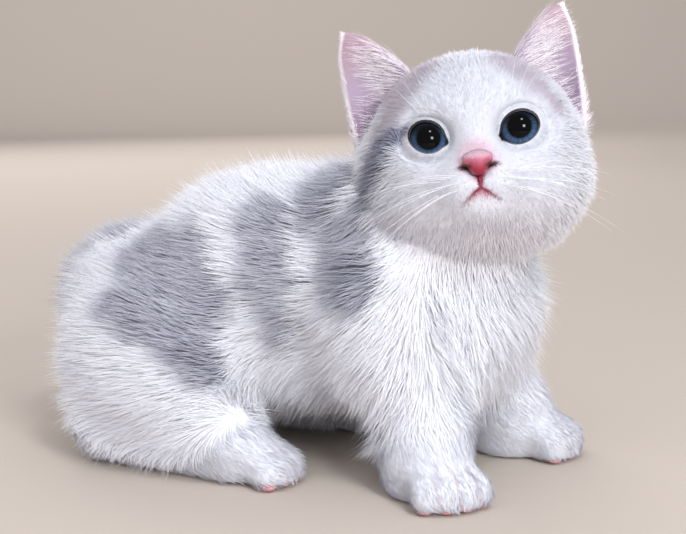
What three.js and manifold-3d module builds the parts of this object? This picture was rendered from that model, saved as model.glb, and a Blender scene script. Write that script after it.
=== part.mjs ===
// A munchkin kitten at life size, crouched with its short forelegs straight and its head turned.
// Millimetres, +Z up, +X the way the pelvis points, +Y the cat's left.
// Every outline is the tip of the coat, not the skin under it.
import * as THREE from "three";
import { mergeVertices } from "three/addons/utils/BufferGeometryUtils.js";
import Module from "manifold-3d";

const wasm = await Module();
wasm.setup();

const vec = (x, y, z) => new THREE.Vector3(x, y, z);
const deg = THREE.MathUtils.degToRad;

// The whole animal
const GAP = 0.3;
const FLOOR = 0;
const WITHERS_HEIGHT = 102;
const BODY_HALF_WIDTH = 42;
const BELLY_CLEARANCE = 14;
const sides = ["left", "right"];
const signOf = { left: 1, right: -1 };

// Trunk: the line of the spine bows to the cat's left, as it turns its chest to its right.
const RUMP_AT = vec(-60, 5, 42);
const LOIN_AT = vec(-32, 10, 55);
const TAIL_ROOT = vec(-90, 6, 54);
const RIBS_AT = vec(2, 14, WITHERS_HEIGHT - 44);
const CHEST_AT = vec(33, 16, 55);
const RUMP_SEAM = { at: vec(-38, 9, 50), facing: vec(1, 0.15, 0) };
const LOIN_SEAM = { at: vec(4, 14, 50), facing: vec(1, 0, 0) };

// Neck: a short thick ruff between the head and the chest
const NAPE_AT = vec(14, 14, 80);
const THROAT_AT = vec(34, 14, 88);

// Hind legs, folded
const THIGH = {
  left: { at: vec(-48, 36, 33), turn: [8, 24, 4] },
  right: { at: vec(-50, -27, 33), turn: [-8, 24, -4] },
};
const THIGH_RADII = vec(43, 25, 36);
const HIND_FOOT = {
  left: { heel: vec(-64, 40, 12), toes: vec(-11, 44, 11) },
  right: { heel: vec(-68, -33, 12), toes: vec(-18, -29, 11) },
};
const HEEL_RADIUS = 12;
const HIND_TOE_RADIUS = 12;
const HIND_PAW_WIDTH = 30;

// Forelegs, straight, with four toes fanned across each paw
const FORELEG = {
  left: { shoulder: vec(32, 40, 56), wrist: vec(43, 44, 20), paw: vec(47, 45, 10), heading: 4 },
  right: { shoulder: vec(26, -7, 56), wrist: vec(42, -10, 20), paw: vec(44, -14, 10), heading: -38 },
};
const FOREPAW_WIDTH = 32;
const WRIST_UP = 3;
const TOE_SPREAD = [-27, -9, 9, 27];

// Tail, from its root down to the floor and forward along the left thigh
const TAIL_PATH = [
  vec(-92, 12, 56),
  vec(-108, 18, 46),
  vec(-112, 32, 26),
  vec(-98, 52, 12),
  vec(-78, 66, 10),
  vec(-50, 70, 9.5),
  vec(-26, 66, 9),
];
const TAIL_RADII = [13, 12, 11.5, 11, 10.5, 9.5, 7];
const TAIL_BEND_SEAM = { at: vec(-102, 42, 16), facing: vec(0.1, 1, -0.2) };
const TAIL_TIP_SEAM = { at: vec(-66, 70, 10), facing: vec(1, 0.1, 0) };

// Head: built facing +X with the eye line at height zero, then turned to look over its right side.
const HEAD_AT = vec(45.4, 13.7, 107.5);
const HEAD_HEADING = -65;
const HEAD_PITCH_UP = 12;
const HEAD_ROLL = 8;
const FACE_ORIGIN = vec(4, 0, -8);

// Eyes and lids. The opening rises a little towards its outer corner.
const EYE_APART = 14;
const EYE_RADIUS = 7.6;
const EYE_AT = { left: vec(19.5, EYE_APART, 0), right: vec(19.5, -EYE_APART, 0) };
const EYE_SLANT = 0.12;
const LID_HALF_WIDTH = 6.6;
const LID_HALF_HEIGHT = 5.8;
const LID_THICKNESS = 1;

// Nose and mouth
const NOSE_AT = vec(34.5, 0, -9.6);
const NOSE_HALF_WIDTH = 5.6;
const MOUTH_RADIUS = 0.55;
const MOUTH_TOP = -12.6;
const MOUTH_FORK = -16.8;
const MOUTH_CORNER = { out: 6, up: -20.6 };

// Ears
const EAR_BASE_IN = vec(-4, 13.5, 27);
const EAR_BASE_OUT = vec(-7, 39, 5);
const EAR_TIP = vec(-3, 36, 42.5);
const EAR_LEAN = -2;
const EAR_SINK = 6;
const EAR_DEPTH = 8.5;
const EAR_WALL = 1.7;

// Whiskers: rows on each pad, longer towards the cheek, that droop and trail back
const WHISKER_ROWS = 2;
const WHISKERS_IN_ROW = 3;
const WHISKER_FIRST = { out: 6, up: -13.4 };
const WHISKER_LAST_OUT = 11.7;
const WHISKER_ROW_DROP = 4;
const WHISKER_REACH = { first: 18, last: 31.5 };
const WHISKER_RADIUS = 0.36;
const WHISKER_DROOP = 0.22;
const WHISKER_TRAIL = 0.2;
const WHISKER_SINK = 2;

// Locks of the coat: each is flat and tapered, and its core lies at the coat's depth.
const TRUNK_COAT = { depth: 5, length: 30, halfWidth: 8.5 };
const NECK_COAT = { depth: 5, length: 26, halfWidth: 8 };
const THIGH_COAT = { depth: 4.5, length: 28, halfWidth: 8 };
const LEG_COAT = { depth: 3.5, length: 22, halfWidth: 7 };
const TAIL_COAT = { depth: 3, length: 24, halfWidth: 5.5 };
const LOCK_ROOT_SINK = 2.4;
const LOCK_RIDGE = 1.3;
const LOCK_FAN = 62;
const LOCKS_OFF_FLOOR = 9;

// Colours of the coat and of the bare skin
const WHITE = { color: 0xf1eef2, roughness: 0.95, metalness: 0 };
const GREY = { color: 0x9a98a3, roughness: 0.95, metalness: 0 };
const PINK = { color: 0xe8808a, roughness: 0.55, metalness: 0 };
const EYE = { color: 0x1c2632, roughness: 0.08, metalness: 0 };

// Rounded forms. Each one is a distance: below zero inside, above zero outside.
const smoothMin = (a, b, blend) => {
  const h = Math.max(blend - Math.abs(a - b), 0) / blend;
  return Math.min(a, b) - (h * h * blend) / 4;
};
const smoothMax = (a, b, blend) => -smoothMin(-a, -b, blend);

function ellipsoid(centre, radii, turnDeg = [0, 0, 0]) {
  const back = new THREE.Quaternion()
    .setFromEuler(new THREE.Euler(...turnDeg.map(deg)))
    .invert();
  const q = vec(0, 0, 0);
  return (p) => {
    q.copy(p).sub(centre).applyQuaternion(back);
    const k0 = Math.hypot(q.x / radii.x, q.y / radii.y, q.z / radii.z);
    const k1 = Math.hypot(q.x / radii.x ** 2, q.y / radii.y ** 2, q.z / radii.z ** 2);
    return k1 < 1e-9 ? -Math.min(radii.x, radii.y, radii.z) : (k0 * (k0 - 1)) / k1;
  };
}

function limb(from, to, fromRadius, toRadius) {
  const along = to.clone().sub(from);
  const q = vec(0, 0, 0);
  return (p) => {
    q.copy(p).sub(from);
    const share = THREE.MathUtils.clamp(q.dot(along) / along.lengthSq(), 0, 1);
    const radius = THREE.MathUtils.lerp(fromRadius, toRadius, share);
    return q.addScaledVector(along, -share).length() - radius;
  };
}

const blended = (forms, blend) => (p) =>
  forms.reduce((distance, form) => smoothMin(distance, form(p), blend), 1e6);

// How far a ray from inside a form goes before it leaves the form, grown by an allowance.
const STEP = 1;
const REACH = 120;
function rayLength(form, start, direction, grow) {
  const at = vec(0, 0, 0);
  const outside = (t) => form(at.copy(start).addScaledVector(direction, t)) > grow;
  let far = STEP;
  while (!outside(far) && far < REACH) far += STEP;
  let near = far - STEP;
  for (let i = 0; i < 18; i++) {
    const middle = (near + far) / 2;
    if (outside(middle)) far = middle;
    else near = middle;
  }
  return (near + far) / 2;
}

function solidOf(geometry) {
  const bare = new THREE.BufferGeometry();
  bare.setAttribute("position", geometry.getAttribute("position").clone());
  bare.setIndex(geometry.index ? geometry.index.clone() : null);
  const merged = mergeVertices(bare, 1e-3);
  const made = new wasm.Manifold(
    new wasm.Mesh({
      numProp: 3,
      vertProperties: merged.attributes.position.array,
      triVerts: new Uint32Array(merged.index.array),
    }),
  );
  if (made.volume() >= 0) return made;
  const turned = Uint32Array.from(merged.index.array);
  for (let i = 0; i < turned.length; i += 3) {
    [turned[i + 1], turned[i + 2]] = [turned[i + 2], turned[i + 1]];
  }
  return new wasm.Manifold(
    new wasm.Mesh({
      numProp: 3,
      vertProperties: merged.attributes.position.array,
      triVerts: turned,
    }),
  );
}

function moved(geometry, place) {
  const position = geometry.getAttribute("position");
  const v = vec(0, 0, 0);
  for (let i = 0; i < position.count; i++) {
    place(v.fromBufferAttribute(position, i));
    position.setXYZ(i, v.x, v.y, v.z);
  }
  return geometry;
}

// A capsule whose points are pushed along rays from a bent spine out to a form.
function skinAlong(form, spinePoints, up, { sides, rings, caps }, grow = 0) {
  const spine = new THREE.CatmullRomCurve3(spinePoints);
  const half = 0.5;
  return solidOf(
    moved(new THREE.CapsuleGeometry(1, 2 * half, caps, sides, rings), (v) => {
      const onAxis = THREE.MathUtils.clamp(v.y, -half, half);
      const share = onAxis + half;
      const start = spine.getPoint(share);
      const ahead = spine.getTangent(share);
      const side = ahead.clone().cross(up).normalize();
      const over = side.clone().cross(ahead).normalize();
      const ray = vec(0, 0, 0)
        .addScaledVector(side, v.x)
        .addScaledVector(over, v.z)
        .addScaledVector(ahead, v.y - onAxis)
        .normalize();
      v.copy(start).addScaledVector(ray, rayLength(form, start, ray, grow));
    }),
  );
}

// A ball of even triangles pushed out to a form, with more of them the way that focus points.
function skinAround(form, centre, detail, focus = vec(0, 0, 0), grow = 0) {
  return solidOf(
    moved(new THREE.IcosahedronGeometry(1, detail), (v) => {
      const ray = v.clone().normalize().add(focus).normalize();
      v.copy(centre).addScaledVector(ray, rayLength(form, centre, ray, grow));
    }),
  );
}

// Which way a form faces at a point
function outwardOf(form, p) {
  const at = vec(0, 0, 0);
  const slope = (axis) =>
    form(at.copy(p).addScaledVector(axis, 0.2)) - form(at.copy(p).addScaledVector(axis, -0.2));
  return vec(slope(vec(1, 0, 0)), slope(vec(0, 1, 0)), slope(vec(0, 0, 1))).normalize();
}

function geometryOf(solid) {
  const { numProp, vertProperties, triVerts } = solid.getMesh();
  const position = new Float32Array((vertProperties.length / numProp) * 3);
  for (let i = 0; i * 3 < position.length; i++) {
    position.set(vertProperties.subarray(i * numProp, i * numProp + 3), i * 3);
  }
  const geometry = new THREE.BufferGeometry();
  geometry.setAttribute("position", new THREE.BufferAttribute(position, 3));
  geometry.setIndex(new THREE.BufferAttribute(Uint32Array.from(triVerts), 1));
  return geometry;
}

// The same run of draws every time
function seeded(seed) {
  let state = seed;
  return () => {
    state = (state * 1664525 + 1013904223) % 4294967296;
    return state / 4294967296;
  };
}
const between = (random, low, high) => low + (high - low) * random();

// A lock of the coat: flat and tapered, sunk at the root, bent along the lie out to the tips' level.
function lock(form, root, flow, { depth, length, halfWidth, sweep, tipLevel }) {
  return solidOf(
    moved(new THREE.ConeGeometry(1, 1, 3, 3), (v) => {
      const s = v.y + 0.5;
      const taper = Math.max(1 - s, 1e-6);
      const width = (v.x / taper) * halfWidth * Math.sin(Math.PI * (0.28 + 0.72 * s)) ** 0.9;
      const rise = (v.z / taper) * LOCK_RIDGE * (1 - 0.5 * s);
      const level = THREE.MathUtils.lerp(-depth - LOCK_ROOT_SINK, tipLevel, s ** 0.4);
      const at = root.clone();
      let out = outwardOf(form, at);
      let along = flow.clone().addScaledVector(out, -flow.dot(out)).normalize();
      let side = out.clone().cross(along);
      at.addScaledVector(along, length * s).addScaledVector(side, sweep * s * s);
      for (let i = 0; i < 2; i++) {
        out = outwardOf(form, at);
        at.addScaledVector(out, level - form(at));
      }
      along = along.addScaledVector(out, -along.dot(out)).normalize();
      side = out.clone().cross(along);
      v.copy(at);
      if (s < 0.999) v.addScaledVector(side, width).addScaledVector(out, rise);
    }),
  );
}

// Locks in staggered rows round a path inside a form. The rows fan out over the form's two ends.
function locksRound(form, coat, { path, up, rows, around, flow, free, seed }) {
  const random = seeded(seed);
  const spine = new THREE.CatmullRomCurve3(path);
  const locks = [];
  for (let row = 0; row < rows; row++) {
    const share = (row + 0.5) / rows;
    const start = spine.getPoint(share);
    const ahead = spine.getTangent(share);
    const side = ahead.clone().cross(up).normalize();
    const over = side.clone().cross(ahead).normalize();
    const lean = deg(LOCK_FAN) * (2 * share - 1);
    const count = Math.round(around * Math.cos(lean) ** 0.8);
    for (let i = 0; i < count; i++) {
      const angle = ((i + (row % 2) / 2 + between(random, -0.12, 0.12)) * 2 * Math.PI) / count;
      const ray = side
        .clone()
        .multiplyScalar(Math.cos(angle))
        .addScaledVector(over, Math.sin(angle))
        .multiplyScalar(Math.cos(lean))
        .addScaledVector(ahead, Math.sin(lean));
      const root = start.clone().addScaledVector(ray, rayLength(form, start, ray, -coat.depth));
      const draws = {
        length: coat.length * between(random, 0.9, 1.12),
        halfWidth: coat.halfWidth * between(random, 0.9, 1.1),
        sweep: between(random, -3, 3),
        tipLevel: between(random, -1.6, -0.5),
      };
      if (free(root)) locks.push(lock(form, root, flow(root), { depth: coat.depth, ...draws }));
    }
  }
  return locks;
}

const union = (solids) => solids.reduce((all, solid) => all.add(solid));
const cutBy = (solid, cutters) => cutters.reduce((left, cutter) => left.subtract(cutter), solid);
const largest = (solid) =>
  solid.decompose().reduce((best, s) => (s.volume() > best.volume() ? s : best));

// A block that fills one side of a plane, and reaches over it by an allowance.
const BLOCK = 400;
function blockBeyond(point, normal, over) {
  const geometry = new THREE.BoxGeometry(BLOCK, BLOCK, BLOCK);
  geometry.translate(0, 0, BLOCK / 2 - over);
  const turn = new THREE.Quaternion().setFromUnitVectors(vec(0, 0, 1), normal.clone().normalize());
  geometry.applyQuaternion(turn).translate(point.x, point.y, point.z);
  return solidOf(geometry);
}
const belowFloor = blockBeyond(vec(0, 0, FLOOR), vec(0, 0, -1), 0);

// A solid parted by a seam: first the side behind the seam, then the side that it faces
function parted(solid, { at, facing }) {
  return [
    largest(solid.subtract(blockBeyond(at, facing, GAP / 2))),
    largest(solid.subtract(blockBeyond(at, facing.clone().negate(), GAP / 2))),
  ];
}

// Trunk
const trunkForm = blended(
  [
    ellipsoid(RUMP_AT, vec(46, BODY_HALF_WIDTH, 38), [0, 10, 0]),
    ellipsoid(TAIL_ROOT, vec(23, 24, 20)),
    ellipsoid(LOIN_AT, vec(46, BODY_HALF_WIDTH + 3, 43)),
    ellipsoid(RIBS_AT, vec(44, BODY_HALF_WIDTH, RIBS_AT.z - BELLY_CLEARANCE)),
    ellipsoid(CHEST_AT, vec(38, BODY_HALF_WIDTH - 3, 36), [0, 0, -8]),
  ],
  12,
);
const trunkSpine = [RUMP_AT, LOIN_AT, RIBS_AT, CHEST_AT];
const trunk = (grow) =>
  skinAlong(trunkForm, trunkSpine, vec(0, 0, 1), { sides: 22, rings: 8, caps: 4 }, grow);

// Hind legs: a folded thigh that bulges from the rump, and a long foot flat on the floor.
const thighForm = ({ at, turn }) =>
  blended(
    [
      ellipsoid(at, THIGH_RADII, turn),
      limb(at.clone().add(vec(14, 0, -8)), at.clone().add(vec(22, 0, -20)), 20, 14),
    ],
    10,
  );
const thigh = (side, grow) =>
  skinAround(thighForm(THIGH[side]), THIGH[side].at, 4, vec(0, 0, 0), grow);

// A paw: a rounded back, four toes fanned across the front and the pads that meet the floor.
function pawForm(at, headingDeg, width) {
  const ahead = vec(Math.cos(deg(headingDeg)), Math.sin(deg(headingDeg)), 0);
  const left = vec(-ahead.y, ahead.x, 0);
  const toes = TOE_SPREAD.map((angle) => {
    const way = ahead
      .clone()
      .multiplyScalar(Math.cos(deg(angle)))
      .addScaledVector(left, Math.sin(deg(angle)));
    const knuckle = at.clone().addScaledVector(way, width * 0.18).setZ(width * 0.36);
    const tip = at.clone().addScaledVector(way, width * 0.6).setZ(width * 0.19);
    return limb(knuckle, tip, width * 0.23, width * 0.2);
  });
  const back = ellipsoid(
    at.clone().addScaledVector(ahead, -width * 0.06).setZ(width * 0.34),
    vec(width * 0.52, width * 0.45, width * 0.36),
    [0, 0, headingDeg],
  );
  return { toes: blended(toes, 1.6), back };
}

const hindFootForm = (side) => {
  const { heel, toes } = HIND_FOOT[side];
  const heading = THREE.MathUtils.radToDeg(Math.atan2(toes.y - heel.y, toes.x - heel.x));
  const paw = pawForm(toes, heading, HIND_PAW_WIDTH);
  const metatarsus = limb(heel, toes, HEEL_RADIUS, HIND_TOE_RADIUS);
  return (p) => smoothMin(smoothMin(metatarsus(p), paw.back(p), 6), paw.toes(p), 2.5);
};
const hindFoot = (side, grow) => {
  const { heel, toes } = HIND_FOOT[side];
  const spine = [heel, heel.clone().lerp(toes, 0.5), toes.clone().add(vec(2, 0, -1))];
  return skinAlong(
    hindFootForm(side),
    spine,
    vec(0, 0, 1),
    { sides: 16, rings: 3, caps: 6 },
    grow,
  );
};

// Forelegs: short straight columns under the chest that end in splayed paws.
const forelegForm = ({ shoulder, wrist }) =>
  blended(
    [
      ellipsoid(shoulder, vec(25, 20, 30), [0, 14, 0]),
      limb(shoulder, wrist, 21, 16),
      ellipsoid(wrist, vec(16, 16, 15)),
    ],
    10,
  );
const forepawForm = ({ wrist, paw, heading }) => {
  const { toes, back } = pawForm(paw, heading, FOREPAW_WIDTH);
  const cuff = limb(wrist, paw, 15, 14);
  return (p) => smoothMin(smoothMin(cuff(p), back(p), 8), toes(p), 2.5);
};
const wristPlane = ({ shoulder, wrist }) => {
  const along = shoulder.clone().sub(wrist).normalize();
  return [wrist.clone().addScaledVector(along, WRIST_UP), along];
};
const foreleg = (side, grow) =>
  skinAlong(
    forelegForm(FORELEG[side]),
    [FORELEG[side].shoulder, FORELEG[side].wrist],
    vec(1, 0, 0),
    { sides: 16, rings: 4, caps: 3 },
    grow,
  );
const forepaw = (side, grow) => {
  const [point, along] = wristPlane(FORELEG[side]);
  const whole = skinAround(forepawForm(FORELEG[side]), FORELEG[side].paw, 6, vec(0, 0, 0), grow);
  return largest(cutBy(whole, [blockBeyond(point, along, GAP / 2 - grow), belowFloor]));
};

// Tail: from the top of the rump down to the floor and forward along the left thigh.
const tailForm = blended(
  TAIL_PATH.slice(1).map((to, i) => limb(TAIL_PATH[i], to, TAIL_RADII[i], TAIL_RADII[i + 1])),
  5,
);
const tail = (grow) =>
  skinAlong(tailForm, TAIL_PATH, vec(0, 0, 1), { sides: 12, rings: 18, caps: 3 }, grow);

// Head
const headTurn = new THREE.Quaternion()
  .setFromAxisAngle(vec(0, 0, 1), deg(HEAD_HEADING))
  .multiply(new THREE.Quaternion().setFromAxisAngle(vec(0, 1, 0), -deg(HEAD_PITCH_UP)))
  .multiply(new THREE.Quaternion().setFromAxisAngle(vec(1, 0, 0), deg(HEAD_ROLL)));
const headMatrix = new THREE.Matrix4().compose(HEAD_AT, headTurn, vec(1, 1, 1));

const skullForm = blended(
  [
    ellipsoid(vec(-1, 0, 0), vec(31, 34, 29.5)),
    ellipsoid(vec(2, 0, -14), vec(27, 37, 21)),
    ellipsoid(vec(6, 0, -23), vec(21, 28, 16)),
  ],
  10,
);
const muzzleForms = [
  ellipsoid(vec(20, 0, -9), vec(14, 7, 8.5), [0, 18, 0]),
  ellipsoid(vec(25.5, 5.4, -15.5), vec(8.4, 7.6, 5.8)),
  ellipsoid(vec(25.5, -5.4, -15.5), vec(8.4, 7.6, 5.8)),
  ellipsoid(vec(23.5, 0, -22.5), vec(8, 7.5, 6)),
];
const socketForms = sides.map((side) =>
  ellipsoid(EYE_AT[side].clone().add(vec(10, 0, 0)), vec(5.4, 8, 7)),
);
const headForm = (p) => {
  const muzzle = muzzleForms.reduce((d, form) => smoothMin(d, form(p), 2.6), 1e6);
  const face = smoothMin(skullForm(p), muzzle, 5);
  return socketForms.reduce((d, form) => smoothMax(d, -form(p), 6), face);
};

// Where a ray from inside the head, the way of a point of the face seen from the front, leaves it.
function onFace(left, up, lift = 0) {
  const start = vec(FACE_ORIGIN.x, left, up);
  return start.addScaledVector(vec(1, 0, 0), rayLength(headForm, start, vec(1, 0, 0), 0) + lift);
}

function tube(points, radius, { steps, sections }) {
  const outline = new THREE.Shape().absarc(0, 0, radius, 0, 2 * Math.PI);
  return solidOf(
    new THREE.ExtrudeGeometry(outline, {
      steps,
      curveSegments: sections,
      bevelEnabled: false,
      extrudePath: new THREE.CatmullRomCurve3(points),
    }),
  );
}

// A lid: a ring round the opening, bent to lie on the eyeball.
function lidRing(side, radius) {
  const centre = EYE_AT[side];
  const ring = new THREE.TorusGeometry(1, 0.2, 4, 18);
  return solidOf(
    moved(ring, (v) => {
      const angle = Math.atan2(v.y, v.x);
      const outward = Math.hypot(v.x, v.y) - 1;
      const wide = LID_HALF_WIDTH + outward * 5 * radius;
      const high = LID_HALF_HEIGHT + outward * 5 * radius;
      const y = wide * Math.cos(angle) * signOf[side];
      const z = high * Math.sin(angle) + slant(side, y);
      const onBall = Math.sqrt(Math.max(EYE_RADIUS ** 2 - y * y - z * z, 4));
      v.set(onBall + v.z * 5 * radius + 0.5, y, z).add(centre);
    }),
  );
}
const slant = (side, y) => EYE_SLANT * y * signOf[side];

// The opening that shows the eye: a cone that widens forwards from the middle of the ball.
function eyeOpening(side) {
  const cone = new THREE.CylinderGeometry(1, 0.55, 1, 18);
  cone.rotateZ(-Math.PI / 2);
  return solidOf(
    moved(cone, (v) => {
      const y = v.y * LID_HALF_WIDTH * 1.25;
      const z = v.z * LID_HALF_HEIGHT * 1.25 + slant(side, y);
      v.set((v.x + 0.5) * 16 + 1, y, z).add(EYE_AT[side]);
    }),
  );
}

const ball = (centre, radii, detail, turnDeg = [0, 0, 0]) => {
  const geometry = new THREE.IcosahedronGeometry(1, detail);
  geometry.scale(radii.x, radii.y, radii.z);
  geometry.applyQuaternion(
    new THREE.Quaternion().setFromEuler(new THREE.Euler(...turnDeg.map(deg))),
  );
  return solidOf(geometry.translate(centre.x, centre.y, centre.z));
};
const eyeball = (side, grow) => {
  const r = EYE_RADIUS + grow;
  return ball(EYE_AT[side], vec(r, r, r), 2);
};

// Nose leather: a broad top and a narrow foot, with a comma-shaped nostril at each side.
const noseForm = blended(
  [
    ellipsoid(NOSE_AT.clone().add(vec(-1.2, 0, 0.9)), vec(3.4, NOSE_HALF_WIDTH - 0.6, 2.6)),
    ellipsoid(NOSE_AT.clone().add(vec(-1.4, 0, -1.8)), vec(3, 2.7, 2.6)),
  ],
  1.6,
);
const nose = (grow) => {
  const whole = skinAround(noseForm, NOSE_AT.clone().add(vec(-1.2, 0, 0)), 2, vec(0.3, 0, 0), grow);
  if (grow > 0) return whole;
  const nostrils = sides.map((side) =>
    ball(
      NOSE_AT.clone().add(vec(1.6, 3.2 * signOf[side], -0.6)),
      vec(1.8, 1.5, 0.8),
      1,
      [16 * signOf[side], 0, 0],
    ),
  );
  return largest(cutBy(whole, nostrils));
};

// Mouth: a groove down from the nose that parts into two short curves.
function mouthLines() {
  const philtrum = [MOUTH_TOP, (MOUTH_TOP + MOUTH_FORK) / 2, MOUTH_FORK].map((up) =>
    onFace(0, up),
  );
  const arcs = sides.map((side) =>
    [0, 0.33, 0.66, 1].map((t) =>
      onFace(
        signOf[side] * (0.05 + MOUTH_CORNER.out * t),
        THREE.MathUtils.lerp(MOUTH_FORK, MOUTH_CORNER.up, t ** 1.4),
        0.5 * t ** 4,
      ),
    ),
  );
  return [philtrum, ...arcs].map((line) =>
    tube(line, MOUTH_RADIUS, { steps: 6, sections: 3 }),
  );
}
function lowerLip() {
  const line = [-1, -0.5, 0, 0.5, 1].map((t) =>
    onFace(
      t * MOUTH_CORNER.out * 0.8,
      THREE.MathUtils.lerp(MOUTH_FORK, MOUTH_CORNER.up, Math.abs(t) ** 1.8) - 1.7,
      -0.5 - 1.6 * t ** 4,
    ),
  );
  return tube(line, 1.15, { steps: 8, sections: 4 });
}

// A whisker: a thin stiff hair with its root sunk in the pad, that tapers only near its tip.
const down = vec(0, 0, -1).applyQuaternion(headTurn.clone().invert());
function whisker(side, row, share) {
  const out = THREE.MathUtils.lerp(WHISKER_FIRST.out, WHISKER_LAST_OUT, share);
  const up = WHISKER_FIRST.up - WHISKER_ROW_DROP * row - 0.75 * share;
  const root = onFace(signOf[side] * out, up);
  const reach = THREE.MathUtils.lerp(WHISKER_REACH.first, WHISKER_REACH.last, share);
  const fan = 0.08 - 0.16 * row;
  const way = vec(0.55 - 0.66 * share, signOf[side], fan).normalize();
  const over = vec(1, 0, 0).addScaledVector(way, -way.x).normalize();
  const aside = way.clone().cross(over);
  return solidOf(
    moved(new THREE.ConeGeometry(1, 1, 3, 5), (v) => {
      const t = v.y + 0.5;
      const radius = t < 0.999 ? (WHISKER_RADIUS * (1 - t ** 4)) / (1 - t) : 0;
      const at = root
        .clone()
        .addScaledVector(way, reach * t - WHISKER_SINK * (1 - t))
        .addScaledVector(down, reach * WHISKER_DROOP * t * t);
      at.x -= reach * WHISKER_TRAIL * t * t;
      at.addScaledVector(over, v.x * radius).addScaledVector(aside, v.z * radius);
      v.copy(at);
    }),
  );
}
function whiskers() {
  const made = [];
  for (const side of sides) {
    for (let row = 0; row < WHISKER_ROWS; row++) {
      for (let place = 0; place < WHISKERS_IN_ROW; place++) {
        made.push(whisker(side, row, place / (WHISKERS_IN_ROW - 1)));
      }
    }
  }
  return made;
}

const headSkin = (grow) => skinAround(headForm, FACE_ORIGIN, 8, vec(0.45, 0, -0.06), grow);
function headSolid() {
  const whole = headSkin(0);
  const built = union([whole, lowerLip()]);
  const opened = cutBy(built, sides.map(eyeOpening));
  const lidded = union([opened, ...sides.map((side) => lidRing(side, LID_THICKNESS))]);
  const hollows = [...sides.map((side) => eyeball(side, GAP)), nose(GAP), ...mouthLines()];
  return largest(union([cutBy(lidded, hollows), ...whiskers()]));
}

// Ears: a tall cone, flattened and hollowed from the front into a cup.
function earCone(side, { inset, ahead }) {
  const middle = EAR_BASE_IN.clone().lerp(EAR_BASE_OUT, 0.5);
  const across = EAR_BASE_OUT.clone().sub(EAR_BASE_IN);
  const halfBase = across.length() / 2;
  across.normalize();
  const rise = EAR_TIP.clone().sub(middle);
  const front = across.clone().cross(rise).normalize();
  if (front.x < 0) front.negate();
  const cone = new THREE.ConeGeometry(1, 1, 14, 5);
  return solidOf(
    moved(cone, (v) => {
      const t = v.y + 0.5;
      const width = Math.pow(1 - t, 0.62) || 0;
      const spread = (halfBase * width - inset * Math.min(1, width * 4)) / (1 - t || 1);
      const deep = (EAR_DEPTH * width - inset * Math.min(1, width * 4)) / (1 - t || 1);
      const along = t < 1 ? t : t - inset / rise.length();
      const point = middle
        .clone()
        .addScaledVector(rise, along - (1 - t) * (EAR_SINK / rise.length()))
        .addScaledVector(across, v.x * spread)
        .addScaledVector(front, v.z * deep + ahead * (1 - t * 0.3));
      v.set(point.x, point.y * signOf[side] + EAR_LEAN * t, point.z);
    }),
  );
}
function ear(side) {
  const outer = earCone(side, { inset: 0, ahead: 0 });
  const cup = earCone(side, { inset: EAR_WALL, ahead: EAR_DEPTH * 0.62 });
  const grown = headSkin(GAP);
  return largest(outer.subtract(cup).subtract(grown));
}

// Neck: a short thick ruff that fills the space between the head and the chest.
const neckForm = blended(
  [
    ellipsoid(NAPE_AT, vec(31, 33, 25), [0, -18, 0]),
    ellipsoid(THROAT_AT, vec(30, 32, 24)),
  ],
  12,
);
const neck = (grow) =>
  skinAround(neckForm, NAPE_AT.clone().lerp(THROAT_AT, 0.5), 3, vec(0, 0, 0), grow);

const cat = new THREE.Group();
function addNode(name, solid, finish, matrix) {
  const geometry = geometryOf(solid);
  if (matrix) geometry.applyMatrix4(matrix);
  geometry.computeVertexNormals();
  const mesh = new THREE.Mesh(geometry, new THREE.MeshStandardMaterial(finish));
  mesh.name = name;
  cat.add(mesh);
  return mesh;
}
const placed = (solid, matrix) => solid.transform(matrix.elements);

// The pieces of the head, in their own frame
addNode("head", headSolid(), WHITE, headMatrix);
for (const side of sides) {
  addNode(`ear_${side}`, ear(side), WHITE, headMatrix);
  addNode(`eye_${side}`, eyeball(side, 0), EYE, headMatrix);
}
addNode("nose", nose(0), PINK, headMatrix);

// The lie of the coat: back along the trunk and down its sides, and down the chest and legs.
const lieOfTrunk = (p) => {
  const front = THREE.MathUtils.smoothstep(p.x, 20, 55);
  return vec(-1 + 1.1 * front, 0, -0.35 - 0.65 * front).normalize();
};
const lieOfTail = (p) => {
  const spine = new THREE.CatmullRomCurve3(TAIL_PATH);
  const shares = Array.from({ length: 25 }, (_, i) => i / 24);
  const distance = (share) => spine.getPoint(share).distanceTo(p);
  return spine.getTangent(shares.reduce((a, b) => (distance(b) < distance(a) ? b : a)));
};
const lieOfLegs = () => vec(-0.35, 0, -1).normalize();
const clearOf = (forms) => (p) => p.z > LOCKS_OFF_FLOOR && forms.every((form) => form(p) > 1);

// What each piece of the body keeps clear of: its neighbours, grown by the gap
const headPlace = headMatrix.clone().invert();
const headInBody = (p) => headForm(p.clone().applyMatrix4(headPlace));
const headGrown = placed(headSkin(GAP), headMatrix);
const earsGrown = sides.map((side) => placed(earCone(side, { inset: -GAP, ahead: 0 }), headMatrix));
const thighsGrown = sides.map((side) => thigh(side, GAP));
const footGrown = sides.map((side) => hindFoot(side, GAP));
const pawGrown = sides.map((side) => forepaw(side, GAP));
const legGrown = sides.map((side) => foreleg(side, GAP));
const trunkCore = trunk(-TRUNK_COAT.depth);
const trunkCoreGrown = trunk(GAP - TRUNK_COAT.depth);

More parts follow.
